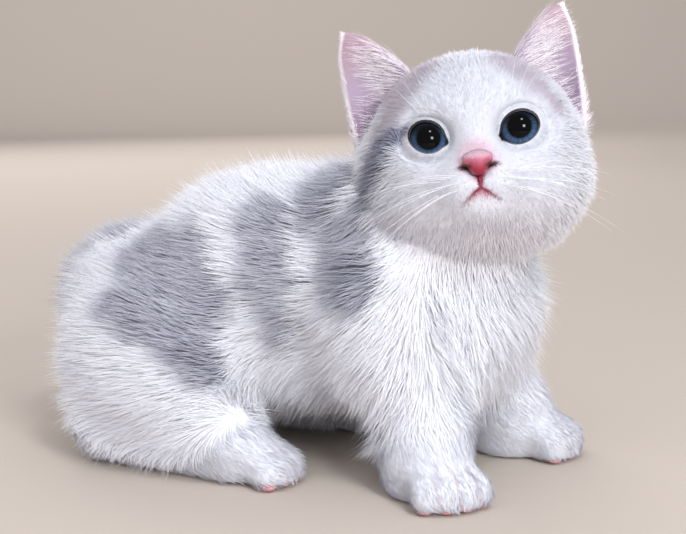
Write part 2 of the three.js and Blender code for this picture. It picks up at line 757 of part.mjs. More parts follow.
const trunkLocks = locksRound(trunkForm, TRUNK_COAT, {
  path: trunkSpine,
  up: vec(0, 0, 1),
  rows: 11,
  around: 14,
  flow: lieOfTrunk,
  free: clearOf([
    headInBody,
    neckForm,
    ...sides.map((side) => thighForm(THIGH[side])),
    ...sides.map((side) => forelegForm(FORELEG[side])),
  ]),
  seed: 11,
});
const trunkLocksCut = cutBy(union(trunkLocks), [...thighsGrown, ...legGrown, neck(GAP), tail(GAP)]);
const trunkCut = cutBy(trunkCore.add(trunkLocksCut), [
  headGrown,
  ...footGrown,
  ...pawGrown,
  belowFloor,
]);
const [rump, front] = parted(trunkCut, RUMP_SEAM);
const [loin, chest] = parted(front, LOIN_SEAM);
addNode("rump", rump, WHITE);
addNode("loin", loin, WHITE);
addNode("chest", chest, WHITE);

const neckCore = neck(-NECK_COAT.depth);
const neckLocks = locksRound(neckForm, NECK_COAT, {
  path: [NAPE_AT, THROAT_AT],
  up: vec(0, 0, 1),
  rows: 4,
  around: 11,
  flow: lieOfTrunk,
  free: clearOf([
    headInBody,
    (p) => trunkForm(p) + 4,
    ...sides.map((side) => forelegForm(FORELEG[side])),
  ]),
  seed: 21,
});
addNode(
  "neck",
  largest(
    cutBy(union([neckCore, ...neckLocks]), [trunkCoreGrown, headGrown, ...legGrown, ...earsGrown]),
  ),
  WHITE,
);

sides.forEach((side, i) => {
  const thighCore = thigh(side, -THIGH_COAT.depth);
  const thighLocks = locksRound(thighForm(THIGH[side]), THIGH_COAT, {
    path: [THIGH[side].at.clone().add(vec(-14, 0, 0)), THIGH[side].at.clone().add(vec(14, 0, 0))],
    up: vec(0, 0, 1),
    rows: 5,
    around: 9,
    flow: lieOfTrunk,
    free: clearOf([(p) => trunkForm(p) + TRUNK_COAT.depth, hindFootForm(side)]),
    seed: 31 + i,
  });
  addNode(
    `thigh_${side}`,
    largest(cutBy(union([thighCore, ...thighLocks]), [trunkCoreGrown, footGrown[i], belowFloor])),
    WHITE,
  );
  addNode(`hind_foot_${side}`, largest(cutBy(hindFoot(side, 0), [belowFloor])), WHITE);

  const [wristAt, legWay] = wristPlane(FORELEG[side]);
  const legLocks = locksRound(forelegForm(FORELEG[side]), LEG_COAT, {
    path: [FORELEG[side].shoulder, FORELEG[side].wrist],
    up: vec(1, 0, 0),
    rows: 4,
    around: 6,
    flow: lieOfLegs,
    free: clearOf([
      (p) => trunkForm(p) + TRUNK_COAT.depth,
      headInBody,
      (p) => p.clone().sub(wristAt).dot(legWay) - LEG_COAT.length,
    ]),
    seed: 41 + i,
  });
  addNode(
    `foreleg_${side}`,
    largest(
      cutBy(union([foreleg(side, -LEG_COAT.depth), ...legLocks]), [
        trunkCoreGrown,
        headGrown,
        blockBeyond(wristAt, legWay.clone().negate(), GAP / 2),
      ]),
    ),
    WHITE,
  );
  addNode(`forepaw_${side}`, forepaw(side, 0), WHITE);
});

const tailCore = tail(-TAIL_COAT.depth);
const tailLocks = locksRound(tailForm, TAIL_COAT, {
  path: TAIL_PATH,
  up: vec(0, 0, 1),
  rows: 7,
  around: 3,
  flow: lieOfTail,
  free: clearOf([(p) => trunkForm(p) + TRUNK_COAT.depth, thighForm(THIGH.left)]),
  seed: 51,
});
const tailCut = largest(
  cutBy(union([tailCore, ...tailLocks]), [trunkCoreGrown, ...thighsGrown, ...footGrown, belowFloor]),
);
const [tailBase, tailRest] = parted(tailCut, TAIL_BEND_SEAM);
const [tailMiddle, tailTip] = parted(tailRest, TAIL_TIP_SEAM);
addNode("tail_base", tailBase, GREY);
addNode("tail_middle", tailMiddle, GREY);
addNode("tail_tip", tailTip, GREY);

// The origin is under the middle of the whole animal, on the floor that it stands on.
const box = new THREE.Box3().setFromObject(cat);
const middle = box.getCenter(vec(0, 0, 0));
cat.position.set(-middle.x, -middle.y, -box.min.z);

export default cat;
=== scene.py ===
# %% [markdown]
# ## A kitten in its coat
# The solid model gives the sizes and the pose of a short-legged munchkin kitten.
# This script dresses it: one soft skin, a coat of many small tufts, wet eyes and a pink nose.
# A coat could be made from particle hair, but hair made that way is lost in an export.
# So each tuft here is a thin closed blade of mesh, and all of them follow one field of directions.
# %% Load the solid model and keep its box
import math

import bmesh
import bpy
import numpy as np
from mathutils import Matrix, Vector, noise
from mathutils.bvhtree import BVHTree


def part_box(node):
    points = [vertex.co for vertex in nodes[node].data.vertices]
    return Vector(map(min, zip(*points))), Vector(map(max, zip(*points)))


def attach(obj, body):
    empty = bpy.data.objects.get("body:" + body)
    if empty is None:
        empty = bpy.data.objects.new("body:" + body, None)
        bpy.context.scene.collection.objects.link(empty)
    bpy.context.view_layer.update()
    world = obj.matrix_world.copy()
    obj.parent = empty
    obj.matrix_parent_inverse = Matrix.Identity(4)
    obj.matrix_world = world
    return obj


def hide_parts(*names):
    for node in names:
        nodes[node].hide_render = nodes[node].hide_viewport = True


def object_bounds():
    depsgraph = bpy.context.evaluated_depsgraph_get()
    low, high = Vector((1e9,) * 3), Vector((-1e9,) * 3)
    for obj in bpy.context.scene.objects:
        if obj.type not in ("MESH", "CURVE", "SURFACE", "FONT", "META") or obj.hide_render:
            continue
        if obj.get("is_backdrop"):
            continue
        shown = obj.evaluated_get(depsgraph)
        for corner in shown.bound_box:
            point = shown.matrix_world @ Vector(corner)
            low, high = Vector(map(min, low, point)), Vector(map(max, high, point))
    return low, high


MM = 0.001
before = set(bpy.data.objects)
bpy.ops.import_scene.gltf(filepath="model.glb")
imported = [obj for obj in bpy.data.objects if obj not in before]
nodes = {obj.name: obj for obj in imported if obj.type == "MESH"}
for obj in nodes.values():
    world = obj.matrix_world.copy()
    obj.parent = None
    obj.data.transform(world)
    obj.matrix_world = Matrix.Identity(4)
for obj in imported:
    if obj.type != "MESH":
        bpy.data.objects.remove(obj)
solid_box = [list(corner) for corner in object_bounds()]
size_mm = [round((high - low) / MM, 1) for low, high in zip(*solid_box)]
print("solid model, mm:", size_mm)


# %% [markdown]
# ## Arrays instead of single points
# Most of the work is done on whole arrays of points at once, in millimetres.
# A hundred thousand points handled one by one would take minutes, and as arrays they take a moment.
# %% Directions, steps and blends
def unit(vectors):
    """The same directions with length one."""
    return vectors / np.maximum(np.linalg.norm(vectors, axis=-1, keepdims=True), 1e-9)


def dot(a, b):
    return np.sum(a * b, axis=-1, keepdims=True)


def laid(ways, normals):
    """Directions turned until they lie flat on a surface."""
    return unit(ways - normals * dot(ways, normals))


def ease(value, low, high):
    """0 below low, 1 above high, and a soft step between."""
    t = np.clip((value - low) / (high - low), 0, 1)
    return t * t * (3 - 2 * t)


def across(a, b, t):
    """The values between a and b at t, for arrays."""
    return a + (b - a) * t


# %% Meshes as arrays
def values_of(items, name, width, kind=np.float32):
    """One property of all a mesh's points, edges or corners, a row for each."""
    values = np.empty(len(items) * width, kind)
    items.foreach_get(name, values)
    return values.reshape(-1, width)


def points_of(mesh):
    """A mesh's points in millimetres."""
    return values_of(mesh.vertices, "co", 3).astype(float) / MM


def set_points(mesh, points):
    mesh.vertices.foreach_set("co", (points * MM).astype(np.float32).ravel())
    mesh.update()


def normals_of(mesh):
    return values_of(mesh.vertices, "normal", 3).astype(float)


def edges_of(mesh):
    return values_of(mesh.edges, "vertices", 2, np.int32)


def triangles_of(mesh):
    mesh.calc_loop_triangles()
    return values_of(mesh.loop_triangles, "vertices", 3, np.int32)


def tree_of(mesh):
    """A search tree of a mesh's triangles, in millimetres."""
    return BVHTree.FromPolygons(points_of(mesh).tolist(), triangles_of(mesh).tolist())


def relax(values, edges, steps, strength=0.5, hold=None):
    """Each value moves towards the mean of its neighbours along the edges."""
    a, b = edges.T
    size = len(values)
    count = np.bincount(a, minlength=size) + np.bincount(b, minlength=size)
    count = np.maximum(count, 1)[:, None]
    step = strength if hold is None else strength * (1 - hold[:, None])
    for _ in range(steps):
        total = [np.bincount(a, row[b], size) + np.bincount(b, row[a], size) for row in values.T]
        values = values + (np.stack(total, axis=1) / count - values) * step
    return values


# %% Meshes, colours, finishes and pieces
def smooth_shaded(mesh):
    mesh.polygons.foreach_set("use_smooth", np.ones(len(mesh.polygons), bool))


def mesh_from(shape, name):
    """A smooth shaded mesh made from a bmesh, which is freed."""
    mesh = bpy.data.meshes.new(name)
    shape.to_mesh(mesh)
    shape.free()
    smooth_shaded(mesh)
    return mesh


def linear(red, green, blue):
    """A colour given as a screen shows it, 0 to 255, as light mixes it."""
    shown = np.array([red, green, blue], float) / 255
    return np.where(shown <= 0.04045, shown / 12.92, ((shown + 0.055) / 1.055) ** 2.4)


def rgba(colour):
    return (*[float(c) for c in colour], 1.0)


def paint(mesh, colours):
    """Keeps one colour for each point of a mesh."""
    attribute = mesh.attributes.new("fur_colour", "FLOAT_COLOR", "POINT")
    values = np.ones((len(colours), 4), np.float32)
    values[:, :3] = colours
    attribute.data.foreach_set("color", values.ravel())


def new_finish(name):
    """A material with its node tree and its shader."""
    finish = bpy.data.materials.new(name)
    finish.use_nodes = True
    tree = finish.node_tree
    return finish, tree, tree.nodes["Principled BSDF"]


def object_of(mesh, name):
    made = bpy.data.objects.new(name, mesh)
    bpy.context.scene.collection.objects.link(made)
    return made


def show_piece(mesh, name, finish, slot, *replaced):
    """Shows a mesh on the one body in its finish, and hides the nodes that it stands for."""
    piece = object_of(mesh, name)
    mesh.materials.clear()
    mesh.materials.append(finish)
    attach(piece, "root")
    if replaced:
        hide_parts(*replaced)


# %% [markdown]
# ## The head's own directions
# The face is easiest to describe as seen by the animal: ahead, to its left, and up.
# The head is turned, tipped up and tilted, and its place comes from the two eyeballs.
# %% Head frame
HEAD_HEADING = -65
HEAD_PITCH_UP = 12
HEAD_ROLL = 8
EYES_AHEAD = 19.5
EYE_APART = 14
EYE_RADIUS = 7.6
SIGN = {"left": 1, "right": -1}
EYE_AT = {side: np.array([EYES_AHEAD, sign * EYE_APART, 0]) for side, sign in SIGN.items()}
NOSE_AT = np.array([34.5, 0, -9.6])
MOUTH_AT = np.array([32.5, 0, -17.5])

head_turn = (
    Matrix.Rotation(math.radians(HEAD_HEADING), 3, "Z")
    @ Matrix.Rotation(math.radians(-HEAD_PITCH_UP), 3, "Y")
    @ Matrix.Rotation(math.radians(HEAD_ROLL), 3, "X")
)
HEAD_AXES = np.array(head_turn)


def middle_of(node):
    low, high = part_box(node)
    return np.array((low + high) / 2) / MM


eyes_middle = (middle_of("eye_left") + middle_of("eye_right")) / 2
HEAD_AT = eyes_middle - HEAD_AXES @ np.array([EYES_AHEAD, 0, 0])
HEAD_IN_BODY = np.array([64.9, 0.4, 107.5])
BODY_AT = HEAD_AT - HEAD_IN_BODY


def in_head(points):
    """Row frame to head frame, in millimetres."""
    return (points - HEAD_AT) @ HEAD_AXES


def in_body(points):
    """Row frame to the body's own frame, in millimetres, wherever the middle of the box is."""
    return points - BODY_AT


def from_head(points):
    """Head frame to row frame, in millimetres."""
    return np.asarray(points) @ HEAD_AXES.T + HEAD_AT


print("head at, mm:", HEAD_AT.round(1), "nose at, mm:", from_head(NOSE_AT).round(1))

# %% [markdown]
# ## Camera, light and floor
# The camera stands where the photograph was taken from, a little above the kitten's eyes.
# Its place and its lens come from how large the eyes are in the picture and how far the floor tips.
# %% Camera
CAMERA_FROM_EYES = np.array([193.3, -413.9, 33.4])
LOOK_HEADING = math.radians(120)
LOOK_DOWN = math.radians(9.2)
LENS_MM = 78.7

camera_data = bpy.data.cameras.new("camera")
camera_data.lens = LENS_MM
camera_data.clip_start = 0.01
camera = object_of(camera_data, "camera")
camera.location = Vector((eyes_middle + CAMERA_FROM_EYES) * MM)
camera.rotation_euler = (math.pi / 2 - LOOK_DOWN, 0, LOOK_HEADING - math.pi / 2)
bpy.context.scene.camera = camera
bpy.context.scene.view_settings.view_transform = "Standard"
print("camera at, m:", [round(c, 3) for c in camera.location])

# %% [markdown]
# White fur shows its depth only in soft light from one side.
# So one large key lamp leads, a fill and a rim lamp open its shadows, and one lights the backdrop.
# Two small lamps give each eye its points of light, and the large ones are kept out of all gloss.
# %% Lamps and sky
LAMP_AIM = Vector((BODY_AT + np.array([20, 0, 60])) * MM)
TO_RIGHT = Vector((math.sin(LOOK_HEADING), -math.cos(LOOK_HEADING), 0))
TO_CAMERA = Vector((-math.cos(LOOK_HEADING), -math.sin(LOOK_HEADING), 0))
UP = Vector((0, 0, 1))


def lamp(name, right, near, up, size, watts, colour=(1, 1, 1), in_gloss=False, aim=LAMP_AIM):
    """A square lamp placed by how far it is to the right, towards the camera and up."""
    data = bpy.data.lights.new(name, "AREA")
    data.size = size
    data.energy = watts
    data.color = colour
    made = object_of(data, name)
    made.location = LAMP_AIM + TO_RIGHT * right + TO_CAMERA * near + UP * up
    made.rotation_euler = (aim - made.location).to_track_quat("-Z", "Y").to_euler()
    made.visible_camera = False
    made.visible_glossy = in_gloss


lamp("key", -0.45, 1.28, 1.28, 1.95, 10.6, (0.98, 0.985, 1))
lamp("fill", 0.8, 0.55, 0.4, 1.2, 1.9, (0.84, 0.93, 1))
lamp("rim", -0.3, -1.0, 0.65, 1.2, 8)
lamp("eye_light_low", 0.29, 0.70, 0.30, 0.17, 3.6, in_gloss=True)
lamp("eye_light_high", 0.13, 0.40, 0.66, 0.11, 1.2, in_gloss=True)
lamp("backdrop", -0.2, -1.4, 1.2, 1.6, 11, aim=LAMP_AIM - TO_CAMERA * 2.8 + UP)
print("lamps:", len(bpy.data.lights))

SKY = linear(226, 224, 228)
SKY_STRENGTH = 0.72
world = bpy.data.worlds.new("sky")
world.use_nodes = True
background = world.node_tree.nodes["Background"]
background.inputs["Color"].default_value = rgba(SKY)
background.inputs["Strength"].default_value = SKY_STRENGTH
bpy.context.scene.world = world

# %% [markdown]
# A studio floor is a wide sheet that sweeps up behind the subject, so that no edge shows.
# A plane and a wall would meet in a line. One profile with a quarter turn in it has none.
# %% Floor and sweep
FLOOR_NEAR, FLOOR_FAR, FLOOR_HALF_WIDTH = 30, 1.6, 30
SWEEP_RADIUS, SWEEP_TOP = 1.2, 2.6
PALE_FLOOR = linear(194, 184, 175)

profile = [(FLOOR_NEAR, 0.0)]
for turn in np.linspace(0, math.pi / 2, 17):
    far = FLOOR_FAR + SWEEP_RADIUS * math.sin(turn)
    profile.append((-far, SWEEP_RADIUS * (1 - math.cos(turn))))
profile.append((-FLOOR_FAR - SWEEP_RADIUS, SWEEP_TOP))
floor_shape = bmesh.new()
line = [
    floor_shape.verts.new(TO_CAMERA * near + UP * up - TO_RIGHT * FLOOR_HALF_WIDTH)
    for near, up in profile
]
for a, b in zip(line, line[1:]):
    floor_shape.edges.new((a, b))
swept = bmesh.ops.extrude_edge_only(floor_shape, edges=floor_shape.edges[:])["geom"]
far_side = [item for item in swept if isinstance(item, bmesh.types.BMVert)]
bmesh.ops.translate(floor_shape, vec=TO_RIGHT * 2 * FLOOR_HALF_WIDTH, verts=far_side)
bmesh.ops.recalc_face_normals(floor_shape, faces=floor_shape.faces)
floor = object_of(mesh_from(floor_shape, "floor"), "floor")
floor_finish, _, floor_shader = new_finish("pale_floor")
floor_shader.inputs["Base Color"].default_value = rgba(PALE_FLOOR)
floor_shader.inputs["Roughness"].default_value = 0.7
floor_shader.inputs["Specular IOR Level"].default_value = 0.05
floor.data.materials.append(floor_finish)
floor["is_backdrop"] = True
print("floor faces:", len(floor.data.polygons))

# %% [markdown]
# ## One skin under the coat
# On the animal the skin runs on over head, body and legs with no seam.
# The solid nodes are copied, joined and rebuilt as one surface by a voxel remesh.
# A union of the solids would be exact, but it would keep the gaps between them as seams.
# %% Join and remesh closed shapes
FLESH = [
    "head", "neck", "chest", "loin", "rump",
    "thigh_left", "thigh_right", "hind_foot_left", "hind_foot_right",
    "foreleg_left", "foreleg_right", "forepaw_left", "forepaw_right",
    "tail_base", "tail_middle", "tail_tip",
]  # fmt: skip
REGIONS = ["head", "neck", "trunk", "thigh", "foot", "leg", "paw", "tail"]
REGION_OF = {
    "head": "head", "neck": "neck", "chest": "trunk", "loin": "trunk", "rump": "trunk",
    "thigh": "thigh", "hind": "foot", "foreleg": "leg", "forepaw": "paw", "tail": "tail",
}  # fmt: skip
SKIN_VOXEL = 1.2


def merged_copy(node):
    """A node's mesh as a new shape of joined triangles."""
    shape = bmesh.new()
    shape.from_mesh(nodes[node].data)
    bmesh.ops.remove_doubles(shape, verts=shape.verts, dist=1e-6)
    return shape


def remeshed(shapes, voxel, name):
    """Several closed shapes as one surface of small even faces."""
    together = bmesh.new()
    for shape in shapes:
        closed = mesh_from(shape, "closed")
        together.from_mesh(closed)
        bpy.data.meshes.remove(closed)
    joined = mesh_from(together, "joined")
    holder = object_of(joined, name)
    step = holder.modifiers.new("voxels", "REMESH")
    step.mode = "VOXEL"
    step.voxel_size = voxel * MM
    evaluated = holder.evaluated_get(bpy.context.evaluated_depsgraph_get())
    made = bpy.data.meshes.new_from_object(evaluated)
    bpy.data.objects.remove(holder)
    bpy.data.meshes.remove(joined)
    return made


def largest_only(mesh):
    """Deletes every surface but the one with the most points."""
    ends = edges_of(mesh)
    label = np.arange(len(mesh.vertices))
    settled = False
    while not settled:
        low = np.minimum(label[ends[:, 0]], label[ends[:, 1]])
        fresh = label.copy()
        np.minimum.at(fresh, ends[:, 0], low)
        np.minimum.at(fresh, ends[:, 1], low)
        fresh = fresh[fresh]
        settled = np.array_equal(fresh, label)
        label = fresh
    shape = bmesh.new()
    shape.from_mesh(mesh)
    shape.verts.ensure_lookup_table()
    loose = [shape.verts[i] for i in np.nonzero(label != np.bincount(label).argmax())[0]]
    bmesh.ops.delete(shape, geom=loose, context="VERTS")
    shape.to_mesh(mesh)
    shape.free()
    return mesh


# %% [markdown]
# The coat differs from region to region, so each point of the skin needs to know where it belongs.
# It takes the region of the nearest node, and the borders are blended along the edges.
# %% Which part of the body each point belongs to
solid_points = []
solid_faces = []
solid_labels = []
for node in FLESH:
    mesh = nodes[node].data
    start = sum(len(block) for block in solid_points)
    faces = triangles_of(mesh)
    solid_points.append(points_of(mesh))
    solid_faces.append(faces + start)
    solid_labels.append(np.full(len(faces), REGIONS.index(REGION_OF[node.split("_")[0]])))
solid_points = np.concatenate(solid_points)
solid_faces = np.concatenate(solid_faces)
solid_labels = np.concatenate(solid_labels)
solid_tree = BVHTree.FromPolygons(solid_points.tolist(), solid_faces.tolist())
print("solid triangles:", len(solid_faces))


def shares_of(points, ends):
    """How much of each region a point belongs to, blended over the borders."""
    nearest = [solid_tree.find_nearest(Vector(p))[2] for p in points]
    return relax(np.eye(len(REGIONS))[solid_labels[nearest]], ends, 14, 0.8)


def mix(values, share):
    """A value for each region, blended by the shares."""
    return share @ np.array([values[region] for region in REGIONS], float)


# %% [markdown]
# The solids carry the long coat as wide locks, which the fine tufts will replace.
# Smoothing melts them away where they are, and leaves the head and the paws, which have none.
# %% Melt the locks away
MELT = {
    "head": 0.02, "neck": 0.8, "trunk": 1.0, "thigh": 0.9,
    "foot": 0.06, "leg": 0.35, "paw": 0.03, "tail": 0.16,
}  # fmt: skip


def melted(mesh, steps):
    """Smooths a surface, most where the solid carries locks."""
    ends = edges_of(mesh)
    points = relax(points_of(mesh), ends, 2)
    melt = mix(MELT, shares_of(points, ends))
    set_points(mesh, relax(points, ends, steps, 0.8, hold=1 - melt))
    return mesh


def remade(mesh, voxel):
    """The same surface with fresh even faces, without strings thinner than a voxel."""
    shape = bmesh.new()
    shape.from_mesh(mesh)
    return largest_only(remeshed([shape], voxel, "skin"))


skin = largest_only(remeshed([merged_copy(node) for node in FLESH], SKIN_VOXEL, "skin"))
skin = remade(melted(skin, 90), 2 * SKIN_VOXEL)
skin = remade(melted(skin, 10), SKIN_VOXEL)
skin.name = "skin"
edges = edges_of(skin)
shares = shares_of(points_of(skin), edges)
part = dict(zip(REGIONS, shares.T))


def laid_back(points, share, ends):
    """Moves the points of head and paws back onto the solid, whose shape is already right there."""
    shift = np.zeros_like(points)
    for k in np.nonzero(share > 0.2)[0]:
        shift[k] = np.array(solid_tree.find_nearest(Vector(points[k]))[0]) - points[k]
    far = np.linalg.norm(shift, axis=1) > 3.5
    shift[far] = 0
    return points + relax(shift, ends, 1) * share[:, None]


smooth_share = ease(part["head"] + part["foot"] + part["paw"], 0.2, 0.8)
set_points(skin, relax(laid_back(points_of(skin), smooth_share, edges), edges, 1, 0.4))
print("skin points:", len(skin.vertices), "triangles:", len(triangles_of(skin)))

# %% [markdown]
# The solids reach out to the tips of the coat, so the skin has to sink by the coat's depth.
# It sinks in small steps along its own normals, because one long step would fold it at the armpits.
# Where the coat stands out loosely, the skin sinks less and the hairs reach past it.
# %% Sink the skin below the coat
SKIN_DEPTH = {
    "head": 1.2, "neck": 5.0, "trunk": 6.0, "thigh": 5.6,
    "foot": 1.8, "leg": 2.2, "paw": 1.5, "tail": 4.0,
}  # fmt: skip
SINK_STEPS = 10
LOOSE_COAT_SPARES = 0.55
SOLE = 0.4


def eye_distance(head_points):
    """How far each point is from the nearer eyeball."""
    gaps = [np.linalg.norm(head_points - at, axis=1) - EYE_RADIUS for at in EYE_AT.values()]
    return np.min(gaps, axis=0)


def head_depth(head_points):
    """The coat's depth on the head: least round eyes, nose and mouth, most on cheeks and throat."""
    near_nose = np.linalg.norm(head_points - NOSE_AT, axis=1) - 4
    near_mouth = np.linalg.norm(head_points - MOUTH_AT, axis=1) - 4
    nearest = np.minimum(eye_distance(head_points), np.minimum(near_nose, near_mouth))
    face = 0.35 + 1.1 * ease(nearest, 1, 14)
    cheeks = 1.6 * ease(np.abs(head_points[:, 1]), 22, 34) * ease(-head_points[:, 2], -4, 16)
    throat = 1.5 * ease(-head_points[:, 2], 24, 36)
    back = 1.5 * ease(-head_points[:, 0], 5, 25)
    return face + cheeks + throat + back


def on_chest_side(body):
    """1 on the left side of the chest, where the long coat stands out past the leg."""
    return ease(body[:, 0], 36, 56) * ease(body[:, 1], 2, 24)


points = points_of(skin)
body_points = in_body(points)
melt = mix(MELT, shares)
depth = mix(SKIN_DEPTH, shares)
depth = depth + part["head"] * (head_depth(in_head(points)) - SKIN_DEPTH["head"])
belly = part["trunk"] * (1 - ease(points[:, 2], 20, 45))
depth = depth * (1 - LOOSE_COAT_SPARES * belly)
long_coat = part["neck"] + part["trunk"] + part["thigh"]
loose = [ease(-body_points[:, 0], 40, 75), ease(points[:, 2], 72, 90), on_chest_side(body_points)]
depth = depth * (1 - LOOSE_COAT_SPARES * long_coat * np.max(loose, axis=0))
depth = relax(depth[:, None], edges, 12)[:, 0]
depth = depth * (0.12 + 0.88 * ease(points[:, 2], 0.5, 7))
for _ in range(SINK_STEPS):
    points = points - normals_of(skin) * depth[:, None] / SINK_STEPS
    points = relax(points, edges, 2, 0.5, hold=1 - np.minimum(1, melt * 2))
    set_points(skin, points)
print("depth of the coat, mm:", depth.min().round(1), "to", depth.max().round(1))

# %% [markdown]
# An eyeball lies in a socket, so the skin in front of it has to sink behind the lids.
# A hole would need a rim of its own. A dent under the lids does the same and keeps the skin closed.
# %% Eye sockets and soles
SOCKET_HALF = (7.7, 6.9)
SOCKET_SINK = 2.6
SOCKET_BARE = 1.03


def socket_reach(side, head_points):
    """0 in the middle of an eye and 1 on its socket's edge, and whether each point is in front."""
    toward = head_points - EYE_AT[side]
    return np.hypot(toward[:, 1] / SOCKET_HALF[0], toward[:, 2] / SOCKET_HALF[1]), toward[:, 0] > 0


for side in SIGN:
    reach, in_front = socket_reach(side, in_head(points))
    sink = SOCKET_SINK * (1 - ease(reach, 0.8, 1.12)) * in_front
    points = points - sink[:, None] * HEAD_AXES[:, 0]
points[:, 2] = np.maximum(points[:, 2], SOLE)
set_points(skin, points)
smooth_shaded(skin)
print("skin box, mm:", points.min(0).round(1), points.max(0).round(1))

# %% [markdown]
# ## Markings
# The kitten is white, with blue-grey patches on haunch, flank, withers, shoulder, croup and tail.
# A streak runs down behind the right eye, and the crown is lilac-grey on both sides of a blaze.
# They could be painted on an image, but skin and tufts would each need their own.
# As chains of balls with soft, broken edges, they give the same answer to both.
# %% The patches as chains of balls
PATCHES_SEEN = {
    "haunch": [
        (-33, -35, 69, 14), (-19, -39, 69, 14), (-20, -50, 58, 16), (-9, -44, 57, 14),
        (-5, -53, 47, 13), (0, -51, 39, 11), (5, -52, 31, 8.5), (9, -52, 24, 6), (-36, -50, 55, 8),
    ],
    "flank": [
        (8, -29, 80, 10), (12, -38, 73, 11.5), (14, -38, 64, 11.5), (18, -40, 55, 10.5),
        (19, -37, 47, 9), (19, -37, 40, 6.5),
    ],
    "withers": [(26, -15, 94, 9), (25, -22, 88, 8.5), (24, -27, 83, 6.5)],
    "shoulder": [(37, -26, 80, 9), (40, -33, 74, 11), (41, -37, 66, 9.5)],
    "below_cheek": [(41, -26, 96, 5.2), (40, -26, 90, 4.4)],
}  # fmt: skip
PATCHES_BEHIND = {
    "far_haunch": [(-40, 22, 70, 14), (-30, 34, 58, 14), (-22, 40, 46, 9)],
    "far_flank": [(8, 33, 74, 10), (12, 40, 60, 11), (10, 41, 46, 7)],
    "croup": [(-60, -9, 68, 11.5), (-70, -11, 64, 12), (-79, -13, 57, 10)],
    "nape": [(38, 14, 97, 9), (46, 20, 92, 8)],
    "tail": [
        (-72, -6, 62, 9), (-82, 4, 58, 11), (-92, 8, 50, 13), (-98, 14, 38, 14), (-92, 24, 22, 14),
        (-84, 38, 13, 13), (-66, 50, 10, 12), (-48, 56, 9, 11), (-30, 57, 9, 11), (-12, 56, 9, 10),
    ],
}  # fmt: skip
STREAK_IN_HEAD = [
    (24.5, -17.5, 3.4, 1.6), (22.5, -20.5, 3.2, 2.6), (20.5, -23.5, 2.4, 3.3),
    (18.5, -26, 0.4, 3.9), (16.5, -28.5, -3, 4.3), (14.5, -31, -7, 4.6), (12, -33, -11, 4.8),
]  # fmt: skip
CROWN_IN_HEAD = [
    (13, 13, 23, 5.5), (17, 16, 18, 6), (18, 21, 12, 5.5), (17, 25, 7, 4.5), (6, 20, 22, 9),
    (13, -13, 23, 6), (16, -18, 18, 6.5), (17, -23, 12, 5.5), (17, -25, 7, 5), (6, -21, 22, 9),
    (0, 18, 27, 10), (0, -19, 27, 10), (-16, 0, 27, 14),
]  # fmt: skip
NOISE_STRIDE = 17.3


def wobble(points, scale, seed):
    """Soft noise between about -1 and 1."""
    shifted = points / scale + seed * NOISE_STRIDE
    return np.array([noise.noise(Vector(p)) for p in shifted])


def chain_share(points, chain, softness):
    """1 inside a chain of balls and 0 outside it, with a soft edge in millimetres."""
    share = np.full(len(points), -1e3)
    for *centre, radius in chain:
        share = np.maximum(share, radius - np.linalg.norm(points - np.array(centre), axis=1))
    return ease(share, -softness, softness)


def grey_share(points):
    """How grey the coat rooted at each point is, and its shares of the crown and the streak."""
    body = in_body(points)
    edge = (wobble(body, 9, 1) * 2.6 + wobble(body, 3.2, 2) * 1.3)[:, None]
    share = np.zeros(len(points))
    for chain in [*PATCHES_SEEN.values(), *PATCHES_BEHIND.values()]:
        share = np.maximum(share, chain_share(body + edge, chain, 2.2))
    streak = chain_share(in_head(points) + 0.3 * edge, STREAK_IN_HEAD, 1.6)
    crown = chain_share(in_head(points + edge), CROWN_IN_HEAD, 3)
    mottled = 0.92 + 0.24 * wobble(body, 6, 3)
    share = np.maximum(share * mottled, streak)
    return np.clip(share, 0, 1), np.clip(crown * mottled, 0, 1), streak


print("share of grey skin:", round(float(grey_share(points_of(skin))[0].mean()), 3))

# %% [markdown]
# Small dark lines make face and paws readable: the toes' folds, the mouth and the nostrils.
# Cut into the skin they would need a far finer mesh, so they are drawn as colour.
# The folds between the toes and the nostrils are painted shade.
# %% Toes, mouth and nostrils
GROOVE = [(0, -13.2, 1.3), (0, -14.6, 0.75), (0, -16.0, 0.4), (0, -17.3, 0.4)]
LIP_LINE = [(0, -17.3, 0.45), (1.6, -18.1, 0.4), (3.4, -19.6, 0.35), (5.6, -21.2, 0.2)]
PAWS = {
    "fore_left": ((66.5, 31.7), 4, 32),
    "fore_right": ((63.5, -27.3), -38, 32),
    "hind_left": ((8.5, 30.7), 4.3, 30),
    "hind_right": ((1.5, -42.3), 4.6, 30),
}
CLEFTS = [-18, 0, 18]


def cleft_share(body):
    """1 in the folds between the toes, at the front of each paw, where their shade is painted."""
    share = np.zeros(len(body))
    for (x, y), heading, width in PAWS.values():
        turn = math.radians(heading)
        ahead = (body[:, 0] - x) * math.cos(turn) + (body[:, 1] - y) * math.sin(turn)
        aside = (body[:, 1] - y) * math.cos(turn) - (body[:, 0] - x) * math.sin(turn)
        out = np.hypot(ahead, aside)
        front = ease(out, width * 0.34, width * 0.5) * (ahead > 0) * (out < width)
        low = 1 - ease(body[:, 2], width * 0.34, width * 0.5)
        for angle in CLEFTS:
            off = np.abs(np.arctan2(aside, ahead) - math.radians(angle)) * out
            share = np.maximum(share, front * low * (1 - ease(off, 0.3, 1.3)))
    return share


